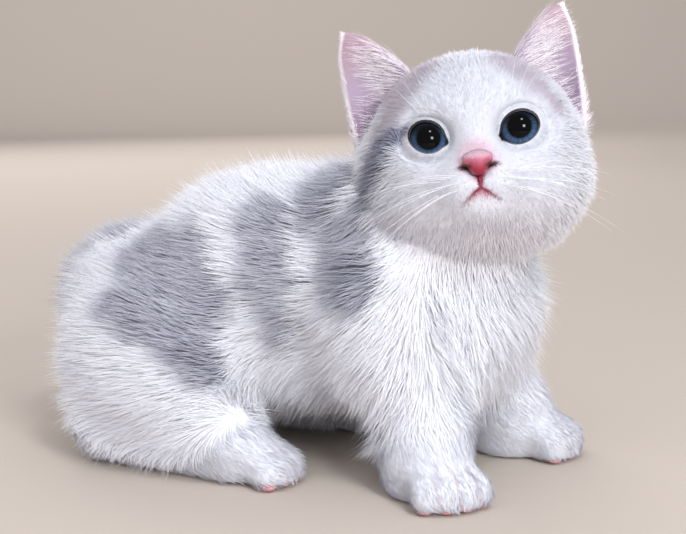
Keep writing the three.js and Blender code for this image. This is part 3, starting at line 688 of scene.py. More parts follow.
def lip_share(face):
    """1 on the groove and the two lines of the mouth, and each point's share of the lower lip."""
    left, up = np.abs(face[:, 1]), face[:, 2]
    line = np.zeros(len(face))
    for path in (GROOVE, LIP_LINE):
        for start, end in zip(path, path[1:]):
            for t in np.linspace(0, 1, 6):
                at = across(np.array(start), np.array(end), t)
                off = np.hypot(left - at[0], up - at[1])
                line = np.maximum(line, 1 - ease(off, at[2] - 0.1, at[2] + 0.7))
    below = -17.5 - 0.68 * left - up
    lower = ease(below, -0.2, 0.6) * (1 - ease(below + 0.5 * left, 1.2, 3.2))
    ahead = face[:, 0] > 22
    return line * ahead, lower * ahead * (1 - ease(left, 2.6, 4.6))


def nostril_share(face):
    """1 in the two commas that run out from the nostrils, where their shadow is painted."""
    local = face - NOSE_AT
    side = np.abs(local[:, 1])
    off = np.hypot((side - 4.1) / 2.6, (local[:, 2] + 1.9 - 0.16 * side) / 1.1)
    return (1 - ease(off, 0.5, 1.15)) * (local[:, 0] > -6)


# %% One colour for every root
# The white is lighter at the root than at the tip: painted light against the shade between the
# tufts.
WHITE_ROOT, WHITE_TIP = linear(248, 249, 254), linear(234, 236, 245)
# The grey and the streak are darker at the root: painted shade between the tufts, over their own
# blue-grey.
GREY_ROOT, GREY_MIDDLE = linear(116, 118, 135), linear(158, 160, 177)
GREY_TIP = linear(208, 208, 220)
STREAK_ROOT, STREAK_TIP = linear(94, 96, 116), linear(148, 150, 170)
# Short hair is painted darker: painted shade that matches it to the long coat, whose tufts shade
# each other.
SHORT_HAIR_PAINTED_SHADE = np.array([0.78, 0.785, 0.81])
# The front of the face is painted darker: painted shade where it faces the key lamp.
FACE_PAINTED_SHADE = np.array([0.82, 0.825, 0.84])
NOSE_BLUSH = np.array([1.0, 0.74, 0.80])
# The folds between the toes are painted shade, in place of cut grooves.
CLEFT_PAINTED_SHADE = np.array([0.85, 0.8, 0.82])
# Under the chin a warm tint with painted shade, as the lower face turns away from the light.
CHIN_WARMTH_AND_SHADE = np.array([0.92, 0.86, 0.85])
CROWN_SHADE = np.array([0.70, 0.61, 0.65])
LIP_RED, LIP_END, LIP_PINK = linear(134, 42, 62), linear(164, 146, 158), linear(178, 118, 138)
# The nostrils are not cut, so their dark is painted shadow.
NOSTRIL_SHADOW = linear(66, 18, 22)
BLUSH_FROM_NOSE = np.array([-2.5, 0, 1.5])
SKIN_LEVEL = 0.35


def lip_red(face, start):
    """The red of the lips, which fades towards the corners of the mouth."""
    return across(LIP_RED, LIP_END, ease(np.abs(face[:, 1]), start, 5)[:, None])


def coat_colour(points, along, size):
    """The colour of hairs of this size rooted at these points, at a height along them, 0 to 1."""
    grey, crown, streak = grey_share(points)
    # Grey and streak darken towards the root, as painted shade between the tufts.
    patch = across(GREY_ROOT, GREY_MIDDLE, min(1, along / 0.6))
    patch = across(patch, GREY_TIP, ease(np.array(along), 0.55, 1))
    patch = across(patch, across(STREAK_ROOT, STREAK_TIP, along), streak[:, None])
    face = in_head(points)
    on_head = 1 - ease(np.linalg.norm(face, axis=1), 34, 44)
    front = ease(face[:, 0], 4, 18) * on_head
    chin = ease(-face[:, 2], 16, 24) * ease(face[:, 0], 8, 18) * on_head
    blush = 1 - ease(np.linalg.norm(face - NOSE_AT - BLUSH_FROM_NOSE, axis=1), 3.5, 8.5)
    # The white lightens towards the root, as painted light against the shade between the tufts.
    white = across(WHITE_ROOT, WHITE_TIP, along)
    # Painted shade on short hair, the face's front, the toes' folds and the chin; blush and crown
    # are tints.
    colour = across(white * SHORT_HAIR_PAINTED_SHADE, white, ease(size, 2, 9)[:, None])
    tints_and_painted_shades = [
        (FACE_PAINTED_SHADE, front),
        (NOSE_BLUSH, blush),
        (CLEFT_PAINTED_SHADE, cleft_share(in_body(points))),
        (CHIN_WARMTH_AND_SHADE, chin),
        (CROWN_SHADE, crown),
    ]
    for shade, share in tints_and_painted_shades:
        colour = across(colour, colour * shade, share[:, None])
    line, lower = lip_share(face)
    layers = [
        (patch, grey),
        (LIP_PINK, 0.7 * lower),
        (lip_red(face, 1.0), line),
        (NOSTRIL_SHADOW, nostril_share(face)),
    ]
    for layer, share in layers:
        colour = across(colour, layer, share[:, None])
    return colour


# %% [markdown]
# ## Finishes of skin and hair
# Hair is dull along its length and shines a little at a low angle, so it has sheen and is rough.
# The colour is read from the mesh, because each tuft carries the marking at its root.
# A small helper sets a node's numbers and links its sockets, which keeps the node trees short.
# %% Helpers for nodes
def feed(tree, node, inputs):
    """Sets a node's inputs, and links those whose value is another node's socket."""
    for name, value in inputs.items():
        if isinstance(value, bpy.types.NodeSocket):
            tree.links.new(value, node.inputs[name])
        else:
            node.inputs[name].default_value = value


def node_of(tree, kind, inputs, **settings):
    made = tree.nodes.new(kind)
    for name, value in settings.items():
        setattr(made, name, value)
    feed(tree, made, inputs)
    return made


# %% Materials of skin, coat and bare leather
def painted_finish(name, inputs):
    """A material that takes its colour from the mesh."""
    finish, tree, shader = new_finish(name)
    colour = node_of(tree, "ShaderNodeAttribute", {}, attribute_name="fur_colour")
    feed(tree, shader, {"Base Color": colour.outputs["Color"], **inputs})
    return finish, tree, shader


def raise_grain(tree, shader, kind, height_from, inputs, strength, distance):
    """A fine pattern that is raised off the surface, laid out in Object coordinates."""
    place = node_of(tree, "ShaderNodeTexCoord", {})
    grain = node_of(tree, kind, {"Vector": place.outputs["Object"], **inputs})
    bump = node_of(
        tree,
        "ShaderNodeBump",
        {"Strength": strength, "Distance": distance * MM, "Height": grain.outputs[height_from]},
    )
    feed(tree, shader, {"Normal": bump.outputs["Normal"]})


def hair_finish(name, roughness):
    sheen = {"Sheen Weight": 0.12, "Sheen Roughness": 0.5}
    return painted_finish(name, {"Roughness": roughness, "Specular IOR Level": 0.25, **sheen})


def leather_finish(name, roughness):
    """Bare wet skin with fine pebbles, which lets a little light in."""
    soft = {"Subsurface Weight": 0.15, "Subsurface Scale": MM}
    finish, tree, shader = painted_finish(name, {"Roughness": roughness, **soft})
    raise_grain(tree, shader, "ShaderNodeTexVoronoi", "Distance", {"Scale": 2600}, 0.35, 0.15)
    return finish


skin_finish, skin_nodes, skin_shader = hair_finish("short_underfur", 0.8)
fine_noise = {"Scale": 1600, "Detail": 3}
raise_grain(skin_nodes, skin_shader, "ShaderNodeTexNoise", "Fac", fine_noise, 0.35, 0.4)
coat_finish = hair_finish("coat_hair", 0.62)[0]
show_piece(skin, "skin", skin_finish, "white_coat", *FLESH)
print("nodes in the skin's material:", len(skin_nodes.nodes))

# %% [markdown]
# ## An unwrap for the coat's colours
# A bake needs to know where on the skin each tuft grows.
# A coarse copy of the skin is unwrapped, and every root looks up its place on it.
# An unwrap of the tufts themselves would be a hundred thousand islands too small for a pixel.
# %% Unwrap a coarse skin
COARSE_VOXEL = 3


def unwrapped(mesh, voxel):
    """A coarse copy of a surface: its tree, its points, its faces and their places on an unwrap."""
    shape = bmesh.new()
    shape.from_mesh(mesh)
    holder = object_of(remeshed([shape], voxel, "coarse"), "coarse")
    for other in bpy.context.selected_objects:
        other.select_set(False)
    bpy.context.view_layer.objects.active = holder
    holder.select_set(True)
    bpy.ops.object.mode_set(mode="EDIT")
    bpy.ops.mesh.select_all(action="SELECT")
    bpy.ops.mesh.quads_convert_to_tris()
    bpy.ops.uv.smart_project(angle_limit=math.radians(60), island_margin=0.004)
    bpy.ops.object.mode_set(mode="OBJECT")
    coarse = holder.data
    places = values_of(coarse.uv_layers.active.data, "uv", 2).reshape(-1, 3, 2)
    faces = values_of(coarse.loops, "vertex_index", 1, np.int32).reshape(-1, 3)
    found = points_of(coarse)
    tree = BVHTree.FromPolygons(found.tolist(), faces.tolist())
    bpy.data.objects.remove(holder)
    return tree, found, faces, places


def places_on(unwrap, points):
    """The place on the unwrap below each point."""
    tree, found, faces, places = unwrap
    hits = [tree.find_nearest(Vector(p)) for p in points]
    spot = np.array([hit[0] for hit in hits])
    face = np.array([hit[2] for hit in hits])
    a, b, c = (found[faces[face, k]] for k in range(3))
    whole = np.linalg.norm(np.cross(b - a, c - a), axis=1) + 1e-12
    wa = np.linalg.norm(np.cross(b - spot, c - spot), axis=1) / whole
    wb = np.linalg.norm(np.cross(c - spot, a - spot), axis=1) / whole
    weights = np.stack([wa, wb, np.clip(1 - wa - wb, 0, 1)], axis=1)
    return np.einsum("nk,nkd->nd", weights, places[face])


skin_unwrap = unwrapped(skin, COARSE_VOXEL)
print("faces of the unwrap:", len(skin_unwrap[2]))

# %% [markdown]
# ## Which way the hair lies
# Hair on a cat starts at the nose, runs back over the head and along the body, and down the legs.
# It could be combed by hand, which takes days. Here each region has one simple direction,
# and the directions are blended over the skin and then smoothed.
# %% The lie of the coat
TAIL_PATH = np.array(
    [
        (-72, -4, 60), (-88, -1, 56), (-92, 19, 26), (-78, 39, 12), (-58, 53, 10), (-30, 57, 9.5),
        (4, 54, 9),
    ],
    float,
)  # fmt: skip


def tail_way(points):
    """The direction of the tail's nearest stretch."""
    starts, ends = TAIL_PATH[:-1], TAIL_PATH[1:]
    middles = (starts + ends) / 2
    gaps = np.linalg.norm(in_body(points)[:, None] - middles[None], axis=2)
    nearness = 1 / np.maximum(gaps, 1) ** 3
    return nearness @ unit(ends - starts)


def paw_way(points):
    """Towards the toes of the nearer forepaw, and down."""
    turn = np.radians(np.where(points[:, 1] > 0, PAWS["fore_left"][1], PAWS["fore_right"][1]))
    return np.stack([np.cos(turn), np.sin(turn), np.full(len(points), -0.55)], axis=1)


def head_way(points):
    """Away from the nose, and a little down on the cheeks."""
    away = unit(points - from_head(NOSE_AT + np.array([-6, 0, 1])))
    face = in_head(points)
    down = ease(np.abs(face[:, 1]), 16, 34) * 0.35 + ease(-face[:, 2], 12, 30) * 0.3
    return away + np.array([0, 0, -1]) * down[:, None]


def trunk_way(points):
    """Back along the trunk, and down on the chest and the belly."""
    hang = 1 - ease(points[:, 2], 22, 48)
    front = ease(in_body(points)[:, 0], 28, 64)
    down = -0.06 - 1.1 * np.maximum(hang, front)
    return unit(np.stack([-1 + 0.95 * front, 0 * hang, down], axis=1))


def leg_way(points):
    """Down the leg, and a little back at its top."""
    high = ease(points[:, 2], 25, 50)
    return unit(np.stack([-0.15 - 0.5 * high, 0 * high, 0 * high - 1], axis=1))


points = points_of(skin)
normals = normals_of(skin)
body_points = in_body(points)
face_points = in_head(points)
ways = {
    "head": head_way(points),
    "neck": unit(unit(points - HEAD_AT) + np.array([-0.4, 0, -0.7])),
    "trunk": trunk_way(points),
    "thigh": unit(np.array([-1.0, 0, -0.16])),
    "foot": unit(np.array([1.0, 0, -0.35])),
    "leg": leg_way(points),
    "paw": paw_way(points),
    "tail": tail_way(points),
}
lie = laid(sum(share[:, None] * ways[region] for region, share in part.items()), normals)
for _ in range(3):
    lie = laid(relax(lie, edges, 4), normals)
print("the lie of the coat points back, on the mean:", -lie[:, 0].mean().round(2))

# %% [markdown]
# A kitten's hair is a velvet of a millimetre on the muzzle and three centimetres long at the rump.
# Each region has one length and one lift, and ten zones then make the coat longer and steeper.
# %% Length, lift, width and density
COAT = {
    # length in mm, lift in degrees, width in mm, tufts in a square millimetre
    "head": (4.0, 12, 0.24, 2.6),
    "neck": (13, 42, 0.28, 2.3),
    "trunk": (16.5, 52, 0.28, 2.3),
    "thigh": (16, 50, 0.28, 2.0),
    "foot": (4.6, 22, 0.28, 1.9),
    "leg": (8, 34, 0.28, 1.6),
    "paw": (3.4, 18, 0.26, 2.2),
    "tail": (10.5, 40, 0.30, 1.9),
}
LONGER_AND_STEEPER = {
    "upper_leg": (5, 10),
    "rump": (10, 24),
    "back": (5, 20),
    "jaw": (4, 6),
    "paw_top": (4, 0),
    "belly": (7, 0),
    "elbow": (12, 26),
    "chest_side": (3, 18),
    "ruff": (7, 9),
    "back_of_head": (0, 11),
}
FROM_NOSE_STEPS = [4, 12, 24, 36, 48, 62, 75]
FROM_NOSE_LENGTHS = [0.9, 1.5, 2.7, 4.8, 7.4, 9.4, 10]
LEFT_RUFF = 0.35

from_nose = np.linalg.norm(face_points - NOSE_AT, axis=1)
short_near_eye = 1.7 + 0.2 * np.clip(eye_distance(face_points), 0, 40)
head_length = np.minimum(np.interp(from_nose, FROM_NOSE_STEPS, FROM_NOSE_LENGTHS), short_near_eye)
furry_leg = part["leg"] + part["paw"] * ease(points[:, 2], 8, 22)
cheek = ease(np.abs(face_points[:, 1]), 19, 32) * (1 - ease(face_points[:, 2], 2, 12))
zones = {
    "upper_leg": part["leg"] * ease(points[:, 2], 28, 55),
    "rump": part["trunk"] * ease(-body_points[:, 0], 45, 80),
    "back": (part["neck"] + part["trunk"]) * ease(points[:, 2], 74, 90),
    "jaw": part["head"] * ease(-face_points[:, 2], 22, 34),
    "paw_top": part["paw"] * ease(points[:, 2], 12, 26),
    "belly": part["trunk"] * (1 - ease(points[:, 2], 22, 46)),
    "elbow": furry_leg * (1 - ease(body_points[:, 0], 44, 58)),
    "chest_side": part["trunk"] * on_chest_side(body_points),
    "ruff": part["head"] * cheek * np.where(face_points[:, 1] < 0, 1.0, LEFT_RUFF),
    "back_of_head": part["head"] * ease(from_nose, 28, 52),
}
columns = zip(*(COAT[region] for region in REGIONS))
length, lift, width, density = [shares @ np.array(column, float) for column in columns]
length = length + part["head"] * (head_length - COAT["head"][0])
for zone, (longer, steeper) in LONGER_AND_STEEPER.items():
    length = length + longer * zones[zone]
    lift = lift + steeper * zones[zone]
paint(skin, coat_colour(points, SKIN_LEVEL, length))
print("hair length, mm:", length.min().round(1), "to", length.max().round(1))

# %% [markdown]
# ## Tufts
# Each tuft is a thin closed blade of three long faces that taper to a point.
# Its root is drawn by chance, more often where the coat is dense and where a triangle is large.
# %% Roots spread over a mesh
rng = np.random.default_rng(7)
HAIR_SHARE = 1.0


def scatter(mesh, per_mm2, keep=None):
    """Random roots on a mesh: their triangle and their weights on its corners."""
    faces = triangles_of(mesh)
    found = points_of(mesh)
    a, b, c = (found[faces[:, k]] for k in range(3))
    area = np.linalg.norm(np.cross(b - a, c - a), axis=1) / 2
    wanted = area * per_mm2[faces].mean(axis=1) * HAIR_SHARE
    if keep is not None:
        wanted = wanted * keep[faces].min(axis=1)
    total = int(wanted.sum())
    pick = np.searchsorted(np.cumsum(wanted), rng.random(total) * wanted.sum())
    pick = np.minimum(pick, len(faces) - 1)
    u, v = np.sqrt(rng.random(total)), rng.random(total)
    weights = np.stack([1 - u, u * (1 - v), u * v], axis=1)
    return faces[pick], weights


def spread(values, roots):
    """A value kept at the mesh's points, at the roots."""
    corners, weights = roots
    kind = "nk,nk->n" if values.ndim == 1 else "nk,nkd->nd"
    return np.einsum(kind, weights, values[corners])


def rooted(mesh, per_mm2, keep=None):
    """Roots on a mesh with their spots and the directions outward."""
    roots = scatter(mesh, per_mm2, keep)
    return roots, spread(points_of(mesh), roots), unit(spread(normals_of(mesh), roots))


# %% [markdown]
# A tuft leaves the skin at an angle, bends down to the lie and leans to its clump's middle.
# Nearly a fifth of those in the long coat are finer, longer guard hairs that stand up more.
# Particle hair would do this by itself. Arrays do it for all the blades at once.
# %% Grow blades from roots
GUARD_SHARE = 0.18
GUARD_FROM_LIFT = 30
ROOT_DEPTH = 0.35
TAPER = [1.0, 0.92, 0.62, 0.4]
TUFT_RINGS, FRINGE_RINGS = 2, 4


def clumped(tips, roots, size, pull):
    """Leans each tip to the mean of its clump."""
    cell = np.floor(roots / size).astype(int)
    _, group = np.unique(cell, axis=0, return_inverse=True)
    group = group.ravel()
    count = np.bincount(group)[:, None]
    leaning = tips - roots
    mean_root = np.stack([np.bincount(group, roots[:, k]) for k in range(3)], 1) / count
    mean_lean = np.stack([np.bincount(group, leaning[:, k]) for k in range(3)], 1) / count
    goal = mean_root[group] + mean_lean[group]
    return (goal - tips) * pull[:, None]


def blades(root, normal, way, size, wide, raise_deg, seed, rings, clump, bend=0.4, ridge=0.55):
    """Points of all blades by blade, ring, corner and coordinate, and their middle lines."""
    draw = np.random.default_rng(seed)
    count = len(root)
    yaw = draw.normal(0, 0.2, count)
    side = np.cross(normal, way)
    way = unit(way * np.cos(yaw)[:, None] + side * np.sin(yaw)[:, None])
    side = np.cross(normal, way)
    size = size * draw.uniform(0.72, 1.14, count)
    guard = (draw.random(count) < GUARD_SHARE) & (raise_deg > GUARD_FROM_LIFT)
    start = np.radians(raise_deg + draw.normal(0, 6, count) + np.where(guard, 12, 0))
    size = np.where(guard, size * 1.24, size)
    wide = np.where(guard, wide * 0.6, wide)
    stations = np.linspace(0, 1, rings + 1) ** 0.9
    line = np.zeros((count, rings + 1, 3))
    line[:, 0] = root - normal * np.minimum(ROOT_DEPTH, size * 0.06)[:, None]
    for k in range(1, rings + 1):
        middle = (stations[k] + stations[k - 1]) / 2
        angle = (start * (1 - bend * middle))[:, None]
        step = (stations[k] - stations[k - 1]) * size[:, None]
        line[:, k] = line[:, k - 1] + (way * np.cos(angle) + normal * np.sin(angle)) * step
    clump_size, clump_pull = clump
    pull = clumped(line[:, -1], root, clump_size, np.where(guard, 0.0, clump_pull))
    line = line + pull[:, None] * (stations**2)[None, :, None]
    run = unit(line[:, 1:] - line[:, :-1])
    twist = draw.normal(0, ridge * 0.9, count)[:, None]
    flat = side * np.cos(twist) + normal * np.sin(twist)
    corners = np.zeros((count, rings, 3, 3))
    for k in range(rings):
        half = (wide * TAPER[k] / 2)[:, None]
        up = unit(np.cross(run[:, k], flat)) * half * ridge
        corners[:, k, 0] = line[:, k] - flat * half - up * 0.5
        corners[:, k, 1] = line[:, k] + flat * half - up * 0.5
        corners[:, k, 2] = line[:, k] + up
    return corners, line


# %% [markdown]
# The blades become one mesh, with a colour for each point and a bake place for each tuft.
# Every tuft has the same faces, so one pattern of them is repeated along the array.
# The shading normals lean to the skin's, as a soft coat is lit like the body below it.
# %% Faces, bake places and shading of the blades
TUFTS_FLOOR = 0.15
HALF_BAKE_PATCH = 0.003 / 2


def blade_pattern(rings):
    """The triangles of one blade, and 1 for those that face outward."""
    faces, outer = [(0, 2, 1)], [0.0]
    for k in range(rings - 1):
        for j in range(3):
            a, b = k * 3 + j, k * 3 + (j + 1) % 3
            faces += [(a, b, b + 3), (a, b + 3, a + 3)]
            outer += [float(j > 0)] * 2
    last = (rings - 1) * 3
    faces += [(last + j, last + (j + 1) % 3, rings * 3) for j in range(3)]
    return np.array(faces), np.array(outer + [0.0, 1.0, 1.0])


def blade_places(rings):
    """Where the points of one blade lie in its patch of the bake."""
    places = [((j - 1), (k / rings - 0.5) * 2) for k in range(rings) for j in range(3)]
    return np.array([*places, (0, 1)]) * HALF_BAKE_PATCH


def blade_mesh(name, corners, line, shading, colours, places, soften):
    """One closed mesh of many blades with colours, bake places and softened shading."""
    count, rings = corners.shape[:2]
    each = rings * 3 + 1
    found = np.concatenate([corners.reshape(count, rings * 3, 3), line[:, -1:]], axis=1)
    found[:, :, 2] = np.maximum(found[:, :, 2], TUFTS_FLOOR)
    pattern, outer = blade_pattern(rings)
    faces = (pattern[None] + (np.arange(count) * each)[:, None, None]).reshape(-1, 3)
    mesh = bpy.data.meshes.new(name)
    mesh.vertices.add(count * each)
    mesh.loops.add(len(faces) * 3)
    mesh.loops.foreach_set("vertex_index", faces.astype(np.int32).ravel())
    mesh.polygons.add(len(faces))
    mesh.polygons.foreach_set("loop_start", np.arange(0, len(faces) * 3, 3, dtype=np.int32))
    set_points(mesh, found.reshape(-1, 3))
    mesh.update(calc_edges=True)
    smooth_shaded(mesh)
    paint(mesh, colours.reshape(-1, 3))
    at_points = (places[:, None] + blade_places(rings)[None]).reshape(-1, 2)
    layer = mesh.uv_layers.new(name="OFBake")
    layer.data.foreach_set("uv", at_points[faces.ravel()].astype(np.float32).ravel())
    lean = (outer * soften)[None, :, None]
    own = values_of(mesh.polygons, "normal", 3).reshape(count, -1, 3)
    own = own * (1 - lean) + shading[:, None] * lean
    corner_normals = np.repeat(unit(own).reshape(-1, 3), 3, axis=0)
    mesh.normals_split_custom_set(corner_normals.astype(np.float32))
    return mesh


def blade_colours(root, size, seed):
    """Colours along every blade, from root to tip, with a slight difference from blade to blade."""
    shade = 1 + np.random.default_rng(seed).normal(0, 0.035, len(root))[:, None]
    levels = [k / TUFT_RINGS for k in range(TUFT_RINGS)]
    blended = [np.clip(coat_colour(root, level, size) * shade, 0, 1) for level in [*levels, 1.0]]
    return np.stack([c for c in blended[:-1] for _ in range(3)] + blended[-1:], axis=1)


def grow(name, colours, places, shading, soften=0.5, slot="white_coat", rings=TUFT_RINGS, **tufts):
    """Grows tufts as one piece, shows it and returns its count of triangles."""
    corners, line = blades(rings=rings, **tufts)
    mesh = blade_mesh(name, corners, line, shading, colours, places, soften)
    show_piece(mesh, name, coat_finish, slot)
    print(name, "tufts:", len(line), "triangles:", len(mesh.polygons))
    return len(mesh.polygons)


# %% [markdown]
# ## The coat
# The whole coat is drawn at once, so that it has no seams, and then shared out to pieces.
# Eyes and nose stay bare, and where the body folds on itself the tufts fit into the room.
# %% Roots of the whole coat
NOSE_BARE = 4.6
SOLE_TOP, SOLE_HAIR = 1.2, 0.15
REACH, RAY_START = 14, 0.6
ROOM_USED, SHORTEST = 0.8, 1.5

kept = np.ones(len(points))
for side in SIGN:
    reach, in_front = socket_reach(side, face_points)
    kept[(reach < SOCKET_BARE) & in_front] = 0
kept[from_nose < NOSE_BARE] = 0
kept[points[:, 2] < SOLE_TOP] = SOLE_HAIR

skin_tree = tree_of(skin)
roots, root_points, root_normals = rooted(skin, density, kept)
even_normals = across(normals, relax(normals, edges, 40), shares[:, :1])
root_shading = unit(spread(even_normals, roots))
root_lies = laid(spread(lie, roots), root_normals)
root_region = np.array(REGIONS)[spread(shares, roots).argmax(axis=1)]
room = np.full(len(root_points), float(REACH))
for k, (spot, outward) in enumerate(zip(root_points, root_normals)):
    hit = skin_tree.ray_cast(Vector(spot + outward * RAY_START), Vector(outward), REACH)
    if hit[0] is not None:
        room[k] = hit[3]
root_length = np.minimum(spread(length, roots), np.maximum(room * ROOM_USED, SHORTEST))
root_lift = spread(lift, roots)
root_width = spread(width, roots)
root_places = places_on(skin_unwrap, root_points)
print("roots:", len(root_points))

# %% Coat pieces, one for each part of the body
COAT_PIECES = {
    "coat_face": lambda p, on: (on == "head") & (in_head(p)[:, 0] > 6),
    "coat_crown": lambda p, on: on == "head",
    "coat_neck": lambda p, on: on == "neck",
    "coat_chest": lambda p, on: (on == "trunk") & (in_body(p)[:, 0] > 24),
    "coat_loin": lambda p, on: (on == "trunk") & (in_body(p)[:, 0] > -20),
    "coat_rump": lambda p, on: on == "trunk",
    "coat_thigh_right": lambda p, on: np.isin(on, ["thigh", "foot"]) & (p[:, 1] < 0),
    "coat_thigh_left": lambda p, on: np.isin(on, ["thigh", "foot"]),
    "coat_foreleg_right": lambda p, on: np.isin(on, ["leg", "paw"]) & (p[:, 1] < 0),
    "coat_foreleg_left": lambda p, on: np.isin(on, ["leg", "paw"]),
    "coat_tail": lambda p, on: on == "tail",
}
SHORT_COAT = ("coat_face", "coat_crown", "coat_foreleg_right", "coat_foreleg_left")
SHORT_TUFTS = {"clump": (1.8, 0.16), "ridge": 0.12}
LONG_TUFTS = {"clump": (3.2, 0.28), "ridge": 0.3}
COAT_SOFTEN = 0.68

claimed = np.zeros(len(root_points), bool)
total_triangles = len(triangles_of(skin))
for name, chosen in COAT_PIECES.items():
    mine = chosen(root_points, root_region) & ~claimed
    claimed |= mine
    total_triangles += grow(
        name,
        blade_colours(root_points[mine], root_length[mine], len(name)),
        root_places[mine],
        root_shading[mine],
        COAT_SOFTEN,
        "grey_coat" if name == "coat_tail" else "white_coat",
        root=root_points[mine],
        normal=root_normals[mine],
        way=root_lies[mine],
        size=root_length[mine],
        wide=root_width[mine],
        raise_deg=root_lift[mine],
        seed=len(name),
        **(SHORT_TUFTS if name in SHORT_COAT else LONG_TUFTS),
    )
print("left without a piece:", int((~claimed).sum()), "triangles so far:", total_triangles)

# %% [markdown]
# ## Places on the face
# Lips, lids and whiskers have to sit on the face, not near it.
# A ray sent at the solid head from in front finds the spot for any left and up.
# Thin forms are tubes bridged from circle to circle, which stay closed and real in an export.
# %% Find a point on the face and lay a tube
BACK = HEAD_AXES @ np.array([-1.0, 0, 0])
head_tree = tree_of(nodes["head"].data)


def on_face(left, up, lift=0.0):
    """The face's point at this left and up in the head frame, lifted off it, in the row frame."""
    start = from_head(np.array([70.0, left, up]))
    hit = head_tree.ray_cast(Vector(start), Vector(BACK))
    return np.array(hit[0]) - BACK * lift


def tapered_tube(shape, path, first, last, sections=8):
    """A closed tube through points in millimetres, from one radius to another."""
    steps = len(path)
    last_ring = None
    for k, radius in enumerate(np.linspace(first, last, steps)):
        way = unit(path[min(k + 1, steps - 1)] - path[max(k - 1, 0)])
        turn = Vector(way).to_track_quat("Z", "Y").to_matrix().to_4x4()
        place = Matrix.Translation(Vector(path[k] * MM)) @ turn
        ring = bmesh.ops.create_circle(
            shape, cap_ends=k in (0, steps - 1), radius=radius * MM, segments=sections, matrix=place
        )["verts"]
        if last_ring is not None:
            loops = [e for e in shape.edges if e.verts[0] in last_ring and e.verts[1] in last_ring]
            loops += [e for e in shape.edges if e.verts[0] in ring and e.verts[1] in ring]
            bmesh.ops.bridge_loops(shape, edges=loops)
        last_ring = ring
    bmesh.ops.recalc_face_normals(shape, faces=shape.faces)


def curve_through(points, steps):
    """A smooth curve through a few points, with a cubic piece between each two."""
    points = np.asarray(points, float)
    ends = np.concatenate([[2 * points[0] - points[1]], points, [2 * points[-1] - points[-2]]])
    made = []
    for t in np.linspace(0, len(points) - 1, steps):
        k = min(int(t), len(points) - 2)
        u = t - k
        a, b, c, d = ends[k : k + 4]
        square, cube = 2 * a - 5 * b + 4 * c - d, 3 * b - a - 3 * c + d
        made.append(0.5 * (2 * b + (c - a) * u + square * u**2 + cube * u**3))
    return np.array(made)


print("bridge of the nose, mm:", on_face(0, 0).round(1))

# %% [markdown]
# ## Eyes
# A kitten's eye is a wet ball: a wide black pupil, a blue-grey iris with a dark rim, a clear coat.
# The pattern is drawn round the way the eye looks, so a Mapping node brings it to the middle.
# A photograph of an iris would do too, but a ramp over the radius stays sharp at any distance.
# %% Finish of the eye
EYE_LOOK = {"left": (-2.0, 1.0), "right": (4.0, 1.0)}
PUPIL_RADIUS = 3.55
IRIS_RADIUS = 5.9
RAMP_REACH = 10.0
WHITE_LIGHT = linear(255, 255, 255)


def math_of(tree, operation, a, b):
    return node_of(tree, "ShaderNodeMath", {0: a, 1: b}, operation=operation).outputs[0]


def vector_of(tree, operation, inputs, outlet="Vector"):
    return node_of(tree, "ShaderNodeVectorMath", inputs, operation=operation).outputs[outlet]


def ramp_of(tree, factor, *stops):
    """A colour ramp with stops of place and colour."""
    made = node_of(tree, "ShaderNodeValToRGB", {"Fac": factor})
    ramp = made.color_ramp
    while len(ramp.elements) < len(stops):
        ramp.elements.new(0.5)
    for element, (place, colour) in zip(ramp.elements, stops):
        element.position = place
        element.color = rgba(colour)
    return made.outputs["Color"]


def darkened(tree, factor, colour, by):
    """A colour multiplied by another, as far as the factor says."""
    inputs = {0: factor, 6: colour, 7: by}
    made = node_of(tree, "ShaderNodeMix", inputs, data_type="RGBA", blend_type="MULTIPLY")
    return made.outputs[2]


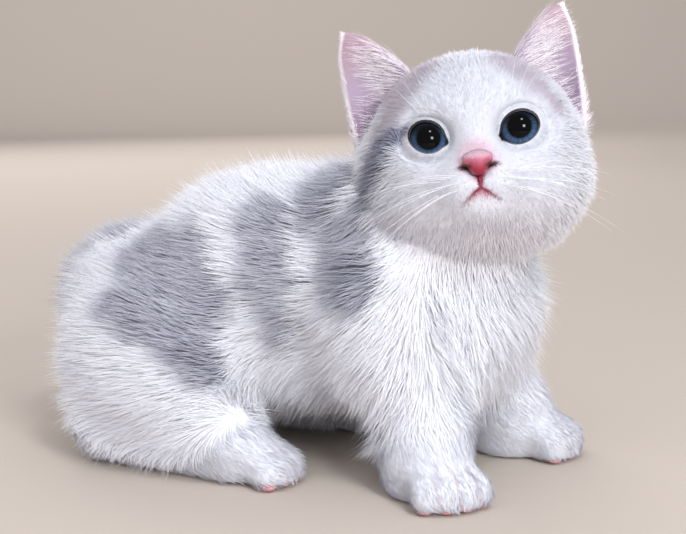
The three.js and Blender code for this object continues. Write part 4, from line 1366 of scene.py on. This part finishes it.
def eye_finish(side, centre, turn):
    """Pupil, iris and rim over the radius, with fine spokes, and a painted shadow of the upper lid
    over its top.
    """
    finish, tree, shader = new_finish(f"wet_eye_{side}")
    place = node_of(tree, "ShaderNodeTexCoord", {})
    to_middle = {
        "Vector": place.outputs["Object"],
        "Location": Vector(centre * MM),
        "Rotation": turn.to_euler(),
        "Scale": (MM, MM, MM),
    }
    centred = node_of(tree, "ShaderNodeMapping", to_middle, vector_type="TEXTURE").outputs["Vector"]
    flat = vector_of(tree, "MULTIPLY", {0: centred, 1: (0, 1, 1)})
    away = vector_of(tree, "LENGTH", {0: flat}, "Value")
    spoke = vector_of(tree, "NORMALIZE", {0: flat})
    iris = ramp_of(
        tree,
        math_of(tree, "DIVIDE", away, RAMP_REACH),
        (PUPIL_RADIUS / RAMP_REACH - 0.012, linear(4, 5, 8)),
        (PUPIL_RADIUS / RAMP_REACH + 0.012, linear(44, 62, 86)),
        (0.43, linear(74, 104, 136)),
        (0.50, linear(66, 94, 124)),
        (IRIS_RADIUS / RAMP_REACH - 0.035, linear(28, 42, 64)),
        (IRIS_RADIUS / RAMP_REACH + 0.01, linear(10, 12, 18)),
    )
    streaks = node_of(tree, "ShaderNodeTexNoise", {"Vector": spoke, "Scale": 7, "Detail": 5})
    spokes = (0.3, linear(120, 128, 140)), (0.65, WHITE_LIGHT)
    streaked = darkened(tree, 0.75, iris, ramp_of(tree, streaks.outputs["Fac"], *spokes))
    parts = node_of(tree, "ShaderNodeSeparateXYZ", {0: centred})
    # Painted shadow of the upper lid over the top of the ball.
    height = math_of(tree, "ADD", math_of(tree, "DIVIDE", parts.outputs["Z"], -14.0), 0.5)
    lid_shadow = (0.28, linear(44, 50, 64)), (0.72, WHITE_LIGHT)
    with_lid_shadow = darkened(tree, 1.0, streaked, ramp_of(tree, height, *lid_shadow))
    wet = {"Coat Weight": 1.0, "Coat IOR": 1.24, "Coat Roughness": 0.015}
    ball = {"Base Color": with_lid_shadow, "Roughness": 0.22, "Specular IOR Level": 0.0}
    feed(tree, shader, {**ball, **wet})
    return finish


# %% [markdown]
# The front of a real eye bulges a little, where its clear window is.
# So a plain sphere is pushed out round its pole, and the pole is turned to where the eye looks.
# %% Eyeballs
CORNEA_RISE = 0.55
CORNEA_RADIUS = 5.6

for side, (yaw, pitch) in EYE_LOOK.items():
    ball = bmesh.new()
    bmesh.ops.create_uvsphere(ball, u_segments=64, v_segments=48, radius=EYE_RADIUS)
    for point in ball.verts:
        from_axis = math.hypot(point.co.x, point.co.y)
        if point.co.z > 0 and from_axis < CORNEA_RADIUS:
            dome = math.cos(from_axis / CORNEA_RADIUS * math.pi / 2) ** 1.2
            point.co *= 1 + CORNEA_RISE / EYE_RADIUS * dome
    look = (
        head_turn
        @ Matrix.Rotation(math.radians(yaw), 3, "Z")
        @ Matrix.Rotation(math.radians(-pitch), 3, "Y")
    )
    centre = from_head(EYE_AT[side])
    aim = look @ Matrix.Rotation(math.radians(90), 3, "Y")
    bmesh.ops.transform(ball, matrix=Matrix.Scale(MM, 4) @ aim.to_4x4(), verts=ball.verts)
    bmesh.ops.translate(ball, vec=Vector(centre * MM), verts=ball.verts)
    mesh = mesh_from(ball, f"eyeball_{side}")
    show_piece(mesh, mesh.name, eye_finish(side, centre, look), "eye", f"eye_{side}")
    print(mesh.name, "middle at, mm:", centre.round(1))

# %% [markdown]
# ## Lids
# The edge of a cat's lid is a thin dark wet line, drawn out to a point at the inner corner.
# Behind it a band of skin runs back over the ball and under the face, where the short hair starts.
# Both could be cut from the skin. A ring spun from a circle and laid on the ball is rounder.
# %% A ring laid on the eyeball
LID_HALF = {"left": (5.6, 4.85), "right": (5.2, 4.8)}
LID_RISE = {"left": 0.0, "right": 0.6}
LID_SLANT = 0.1
INNER_CORNER = math.pi + 0.32
RING_HALF = 0.1


def lid_outline(side, angle, out):
    """Left and up from the eye's middle, on the opening's edge moved outwards."""
    wide, high = LID_HALF[side]
    gap = (angle - INNER_CORNER + math.pi) % (2 * math.pi) - math.pi
    corner = 1.2 * math.exp(-((gap / 0.26) ** 2)) * max(0, 1 - out / 3)
    y = (wide + out + corner) * math.cos(angle)
    z = (high + out + corner * 0.6) * math.sin(angle)
    return y * SIGN[side], z + LID_SLANT * y + LID_RISE[side]


def lid_ring(side, name, segments, steps, rule):
    """A ring whose points are laid by a rule of angle, outward and forward, both from -1 to 1."""
    ring = bmesh.new()
    at = Matrix.Translation((1, 0, 0)) @ Matrix.Rotation(math.radians(90), 4, "X")
    bmesh.ops.create_circle(ring, radius=RING_HALF, segments=segments, matrix=at)
    bmesh.ops.spin(
        ring, geom=ring.edges[:], axis=(0, 0, 1), cent=(0, 0, 0), steps=steps, angle=2 * math.pi,
        use_merge=True,
    )  # fmt: skip
    bmesh.ops.remove_doubles(ring, verts=ring.verts, dist=1e-4)
    for point in ring.verts:
        angle = math.atan2(point.co.y, point.co.x)
        outward = (math.hypot(point.co.x, point.co.y) - 1) * 10
        place = rule(side, angle, outward, point.co.z * 10)
        point.co = Vector(from_head(EYE_AT[side] + np.array(place)) * MM)
    bmesh.ops.recalc_face_normals(ring, faces=ring.faces)
    return mesh_from(ring, name)


# %% The rules of the edge and of the lid
RIM_OUT, RIM_THICK, RIM_PROUD, RIM_FLAT = 0.3, 0.62, 0.12, 0.7
LID_INNER, LID_OUTER, LID_BULGE, LID_TUCK = 0.35, 5.2, 0.15, 1.0
LID_PROUD, LID_THICK = 0.3, 0.3
BALL_LEAST = 1.0


def rim_rule(side, angle, outward, forward):
    """The wet edge on the ball, thickest at its top."""
    thick = RIM_THICK * (0.7 + 0.3 * math.sin(angle))
    y, z = lid_outline(side, angle, RIM_OUT + outward * thick)
    ball = (EYE_RADIUS + RIM_PROUD + forward * thick * RIM_FLAT) ** 2 - y * y - z * z
    ahead = math.sqrt(max(ball, BALL_LEAST))
    if ball < BALL_LEAST:
        ahead -= (BALL_LEAST - ball) * 0.15
    return ahead, y, z


def lid_rule(side, angle, outward, forward):
    """The lid from the opening's edge on the ball out to where it dips under the face."""
    share = (outward + 1) / 2
    y, z = lid_outline(side, angle, LID_INNER + (LID_OUTER - LID_INNER) * share)
    on_ball = math.sqrt(max((EYE_RADIUS + LID_PROUD) ** 2 - y * y - z * z, BALL_LEAST))
    under_face = on_face(EYE_AT[side][1] + y, EYE_AT[side][2] + z, -1.0)
    on_skin = in_head(under_face)[0] - EYES_AHEAD
    ahead = across(on_ball, on_skin, float(ease(share, 0.1, 1.0)))
    ahead -= LID_TUCK * float(ease(share, 0.6, 1.0))
    ahead += LID_BULGE * math.sin(math.pi * share) ** 2 * (0.75 + 0.25 * math.sin(angle))
    ahead += forward * LID_THICK
    return ahead, y, z


# %% Lid edges, lids and their short hair
RIM_UPPER, RIM_LOWER = linear(30, 22, 26), linear(96, 92, 106)
LID_HAIRS_PER_MM2 = 6
CHEEK_NEAR, CHEEK_FAR = 9, 14
LID_HAIR = {"wide": 0.17, "raise_deg": 12.0, "clump": (1.4, 0.1), "ridge": 0.12, "seed": 21}
rim_finish = leather_finish("dark_lid_edge", 0.3)

for side in SIGN:
    rim = lid_ring(side, f"lid_edge_{side}", 10, 72, rim_rule)
    above = ease(in_head(points_of(rim))[:, 2] - LID_RISE[side], -3.2, 0.5)
    paint(rim, across(RIM_LOWER, RIM_UPPER, above[:, None]))
    show_piece(rim, rim.name, rim_finish, "eye")
    lid = lid_ring(side, f"lid_{side}", 16, 96, lid_rule)
    found, facing = points_of(lid), normals_of(lid)
    paint(lid, coat_colour(found, SKIN_LEVEL, np.full(len(found), 1.5)))
    show_piece(lid, lid.name, skin_finish, "white_coat")
    from_eye = np.linalg.norm(face_points - EYE_AT[side], axis=1)
    round_eye = (from_eye > CHEEK_NEAR) & (from_eye < CHEEK_FAR)
    level = unit(even_normals[round_eye].mean(axis=0))
    from_rim = np.hypot(*(in_head(found) - EYE_AT[side])[:, 1:].T)
    in_view = ease((facing @ HEAD_AXES)[:, 0], 0.35, 0.6)
    wanted = LID_HAIRS_PER_MM2 * in_view * (1 - ease(from_rim, 8.6, 10.0))
    _, spot, outward = rooted(lid, wanted)
    calm = unit(0.4 * facing + 0.6 * level)
    lid.normals_split_custom_set_from_vertices(calm.astype(np.float32))
    away = (in_head(spot) - EYE_AT[side]) * np.array([0, 1, 1])
    size = 1.3 + 0.65 * np.clip(np.linalg.norm(away, axis=1) - 5.2, 0, 3.5)
    grow(
        f"lid_fur_{side}",
        blade_colours(spot, size, 22),
        places_on(skin_unwrap, spot),
        np.tile(level, (len(spot), 1)),
        COAT_SOFTEN,
        root=spot,
        normal=outward,
        way=laid(unit(away) @ HEAD_AXES.T, outward),
        size=size,
        **LID_HAIR,
    )

# %% [markdown]
# ## Nose and mouth
# The nose leather is pink, with dark red nostrils that run out to commas at its sides.
# The solid nose has the form already, so a finer copy of it is softened and coloured by place.
# %% Nose leather
NOSE_PINK, NOSE_DEEP, NOSE_EDGE = linear(198, 122, 148), linear(150, 32, 58), linear(192, 160, 174)
NOSTRIL_RED = linear(96, 14, 26)
NOSE_VOXEL = 0.3


def nose_colours(face):
    """Pink above, deep red below, red nostrils that darken to painted shadow in their commas, and
    pale where the velvet starts.
    """
    local = face - NOSE_AT
    side = np.abs(local[:, 1])
    low = ease(-local[:, 2], -2.5, 3)
    colour = across(NOSE_PINK, NOSE_DEEP, low[:, None])
    # The nostrils are painted: red within, running out to painted shadow in the commas.
    dark = nostril_share(face)
    inner = across(NOSTRIL_RED, NOSTRIL_SHADOW, ease(side, 2.2, 4.6)[:, None])
    colour = across(colour, inner, dark[:, None])
    half_width = np.maximum(4.8 + 2.0 * np.minimum(local[:, 2] + 1.4, 0), 1.5)
    beside = ease(side - half_width, 0, 1.2) * (1 - dark) * ease(-local[:, 2], 1.2, 2)
    above = ease(local[:, 2], 0.3, 2.0)
    return across(colour, NOSE_EDGE, np.maximum(beside, above)[:, None])


nose = remeshed([merged_copy("nose")], NOSE_VOXEL, "nose")
set_points(nose, relax(points_of(nose), edges_of(nose), 6, 0.6))
smooth_shaded(nose)
nose.name = "nose_leather"
found = points_of(nose)
paint(nose, nose_colours(in_head(found)))
nose_finish = leather_finish("nose_leather", 0.42)
show_piece(nose, nose.name, nose_finish, "nose_leather", "nose")
print("nose triangles:", len(triangles_of(nose)))

# %% [markdown]
# The leather's upper edge isn't a line: hairs of a millimetre grow over it.
# The lips are the drawn colour of the coat with a thin dark tube along the groove and each curve.
# %% Velvet over the nose's upper edge
NOSE_HAIR = {"wide": 0.16, "raise_deg": 14.0, "clump": (1.0, 0.1), "ridge": 0.12, "seed": 41}

_, spot, outward = rooted(nose, 5.0 * ease((in_head(found) - NOSE_AT)[:, 2], 0.6, 2.2))
size = np.full(len(spot), 0.9)
colours = blade_colours(spot, size, 42)
grow(
    "nose_velvet", colours, places_on(skin_unwrap, spot), outward,
    root=spot, normal=outward, way=laid(head_way(spot), outward), size=size, **NOSE_HAIR,
)  # fmt: skip

# %% Lips
lips = bmesh.new()
groove = [on_face(left, up, -0.05) for left, up, _ in GROOVE]
tapered_tube(lips, curve_through(groove, 10), 0.5, 0.26)
for sign in SIGN.values():
    arc = [on_face(sign * left, up, -0.02) for left, up, _ in LIP_LINE]
    tapered_tube(lips, curve_through(arc, 14), 0.26, 0.05)
lip_line = mesh_from(lips, "lip_line")
paint(lip_line, lip_red(in_head(points_of(lip_line)), 1.5))
show_piece(lip_line, "lip_line", nose_finish, "nose_leather")
print("points of the lips:", len(lip_line.vertices))

# %% [markdown]
# ## Paw pads
# Under each toe sits a small bare pad, and its pink front edge shows where the toe meets the floor.
# Each is a ball flattened onto the floor, set from the paw's place, heading and width.
# %% Pads at the toes
PAD_PINK = linear(206, 150, 158)
PAD_ANGLES = (-27, -9, 9, 27)
PAD_HEIGHT, PAD_HALF_HEIGHT = 1.5, 1.4

pads = bmesh.new()
for (x, y), heading, width in PAWS.values():
    for angle in PAD_ANGLES:
        turn = math.radians(heading + angle)
        out = width * 0.62
        place = BODY_AT + np.array([x + out * math.cos(turn), y + out * math.sin(turn), PAD_HEIGHT])
        shape = Matrix.Diagonal((width * 0.1, width * 0.08, PAD_HALF_HEIGHT, 1))
        matrix = Matrix.Translation(Vector(place * MM)) @ Matrix.Rotation(turn, 4, "Z") @ shape
        bmesh.ops.create_uvsphere(pads, u_segments=16, v_segments=10, radius=MM, matrix=matrix)
paw_pads = mesh_from(pads, "paw_pads")
paint(paw_pads, np.tile(PAD_PINK, (len(paw_pads.vertices), 1)))
show_piece(paw_pads, "paw_pads", nose_finish, "nose_leather")
print("pads:", len(PAD_ANGLES) * len(PAWS))

# %% [markdown]
# ## Ears
# An ear is a thin cup: white velvet behind, bare pink skin inside and a fringe at its inner edge.
# The solid ear has the cup already, so a finer copy is smoothed and its foot sunk in the skin.
# %% Shapes and shares of an ear
EAR_TIP = np.array([-3.0, 36, 42.5])
EAR_FOOT = np.array([-5.5, 26, 16])
EAR_VOXEL = 0.55
EAR_SINK = 4.5


def mirrored(way, side):
    """A place or direction of the left ear, on either side."""
    return np.array(way) * np.array([1, SIGN[side], 1])


def ear_shell(side):
    """A smooth copy of the solid ear with its foot sunk."""
    mesh = remeshed([merged_copy(f"ear_{side}")], EAR_VOXEL, f"ear_{side}")
    points = relax(points_of(mesh), edges_of(mesh), 10, 0.6)
    for k, point in enumerate(points):
        _, outward, _, gap = head_tree.find_nearest(Vector(point))
        sink = EAR_SINK * float(1 - ease(gap, 0.4, 3.2))
        points[k] = point - np.array(outward) * sink
    set_points(mesh, points)
    smooth_shaded(mesh)
    return mesh


def ear_up(face, side):
    """0 at the ear's foot and 1 at its tip."""
    axis = mirrored(EAR_TIP - EAR_FOOT, side)
    return (face - mirrored(EAR_FOOT, side)) @ axis / (axis @ axis)


def from_outer_edge(face, up):
    """How far each point of an ear is inside its outer edge, in millimetres."""
    step = np.clip((up * 20).astype(int), -4, 24) + 4
    edge = np.zeros(30)
    np.maximum.at(edge, step, np.abs(face[:, 1]))
    return edge[step] - np.abs(face[:, 1])


# %% Ear shells, velvet and fringe
EAR_SALMON, EAR_LILAC = linear(168, 142, 156), linear(164, 148, 168)
# The ear's foot is darker: painted shade in the hollow of its cup.
EAR_HOLLOW_SHADE = linear(142, 122, 146)
EAR_WHITE, FRINGE_WHITE = linear(240, 234, 240), linear(246, 240, 246)
VELVET = {"wide": 0.22, "raise_deg": 11.0, "clump": (1.4, 0.1), "ridge": 0.12, "seed": 31}
FRINGE = {"wide": 0.12, "raise_deg": 20.0, "clump": (3.0, 0.4), "bend": 0.9, "seed": 32}
VELVET_RISE, VELVET_LENGTH = [-0.2, 0.2, 0.7, 1.05], [4.6, 2.8, 1.7, 1.4]

for side, sign in SIGN.items():
    ear = ear_shell(side)
    found, facing = points_of(ear), normals_of(ear)
    face = in_head(found)
    up = ear_up(face, side)
    inside = ease(facing @ -BACK, 0.1, 0.55) * ease(from_outer_edge(face, up), 0.6, 2.0)
    bare_skin = across(EAR_LILAC, EAR_SALMON, ease(up, 0.35, 0.75)[:, None])
    # Painted shade in the hollow at the ear's foot.
    bare_skin = across(EAR_HOLLOW_SHADE, bare_skin, ease(up, -0.05, 0.3)[:, None])
    paint(ear, across(EAR_WHITE, bare_skin, inside[:, None]))
    show_piece(ear, f"ear_shell_{side}", skin_finish, "ear_skin", f"ear_{side}")
    unwrap = unwrapped(ear, 1.2)

    tip = from_head(mirrored(EAR_TIP + np.array([-2, 0, 8]), side))
    toward_tip = unit(tip - found) + 0.9 * sign * HEAD_AXES[:, 1] * (1 - inside[:, None])
    roots, spot, outward = rooted(ear, 3.0 * (1 - inside))
    size = np.interp(spread(up, roots), VELVET_RISE, VELVET_LENGTH)
    tint = 1 + np.random.default_rng(5).normal(0, 0.02, len(spot))[:, None]
    dark, pale = EAR_WHITE * tint * 0.96, np.clip(EAR_WHITE * tint * 1.04, 0, 1)
    colours = np.stack([dark] * 3 + [across(dark, pale, 0.5)] * 3 + [pale], axis=1)
    way = unit(spread(laid(toward_tip, facing), roots))
    grow(
        f"ear_velvet_{side}", colours, places_on(unwrap, spot), outward,
        root=spot, normal=outward, way=way, size=size, **VELVET,
    )  # fmt: skip

    medial = 1 - ease(np.abs(face[:, 1]) - (18 + 16 * np.clip(up, 0, 1)), 0, 7)
    low = 1 - ease(up, 0.45, 0.85)
    fringe = inside * np.clip(medial + 0.35 * (1 - ease(up, 0.0, 0.3)), 0, 1) * low * 2.4
    _, spot, outward = rooted(ear, fringe)
    at = in_head(spot)
    edge_left = np.interp(ear_up(at, side), [0, 0.5, 1], [40, 41, 37])
    size = np.clip((edge_left - np.abs(at[:, 1])) * 0.8, 2.5, 9.5)
    way = laid(unit(HEAD_AXES @ mirrored((0.25, 1, 0.18), side)), outward)
    colours = np.tile(FRINGE_WHITE, (len(spot), FRINGE_RINGS * 3 + 1, 1))
    grow(
        f"ear_fringe_{side}", colours, places_on(unwrap, spot), outward, rings=FRINGE_RINGS,
        root=spot, normal=outward, way=way, size=size, **FRINGE,
    )  # fmt: skip

# %% [markdown]
# ## Whiskers
# Whiskers are long stiff hairs in rows on the pads beside the nose, and a few stand over each eye.
# A curve with a bevel would have to be converted. A tapered tube is a mesh from the start.
# %% Whiskers and brow hairs
WHISKER_WHITE = linear(248, 246, 250)
DROOP = np.array([0, 0, -1.0]) * 0.22 + BACK * 0.2


def stiff_hair(shape, root, start, reach, bend, steps, thick, thin):
    """A thin tube that leaves its root one way and bends to another."""
    along = np.linspace(0, 1, steps)[:, None]
    path = root + start * reach * along + bend * along**2
    tapered_tube(shape, path, thick, thin, sections=4)


hairs = bmesh.new()
draw = np.random.default_rng(11)
for sign in SIGN.values():
    for row in range(3):
        for place in range(4):
            left = 6.0 + place * 1.9 + row * 0.5
            root = on_face(sign * left, -13.2 - row * 2.1 - place * 0.25, -0.4)
            reach = 17 + place * 4.5 + draw.uniform(-3, 3)
            fan = (0.6 - row) * 0.24 + draw.uniform(-0.09, 0.09)
            start = HEAD_AXES @ unit(np.array([0.55 - place * 0.22, sign, fan]))
            stiff_hair(hairs, root, start, reach, DROOP * reach, 9, 0.065, 0.02)
    for place in range(3):
        root = on_face(sign * (12 + 2.2 * place), 9.2 + 0.4 * place, -0.4)
        start = HEAD_AXES @ unit(np.array([0.5, sign * (0.25 + 0.25 * place), 0.9]))
        reach = 13 + draw.uniform(-2, 2)
        stiff_hair(hairs, root, start, reach, BACK * reach * 0.35, 7, 0.05, 0.015)
whiskers = mesh_from(hairs, "whiskers")
paint(whiskers, np.tile(WHISKER_WHITE, (len(whiskers.vertices), 1)))
show_piece(whiskers, "whiskers", coat_finish, "white_coat")
print("triangles of the whiskers:", len(triangles_of(whiskers)))

# %% [markdown]
# ## Both boxes
# The coat reaches past the solids by little, and the two boxes are kept so that this can be seen.
# %% Keep both boxes and finish
shown_box = [list(corner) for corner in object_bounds()]
grown = [
    round(((b1 - b0) - (a1 - a0)) / MM, 1)
    for a0, a1, b0, b1 in zip(solid_box[0], solid_box[1], shown_box[0], shown_box[1])
]
print("the coat adds to each side, mm:", grown)
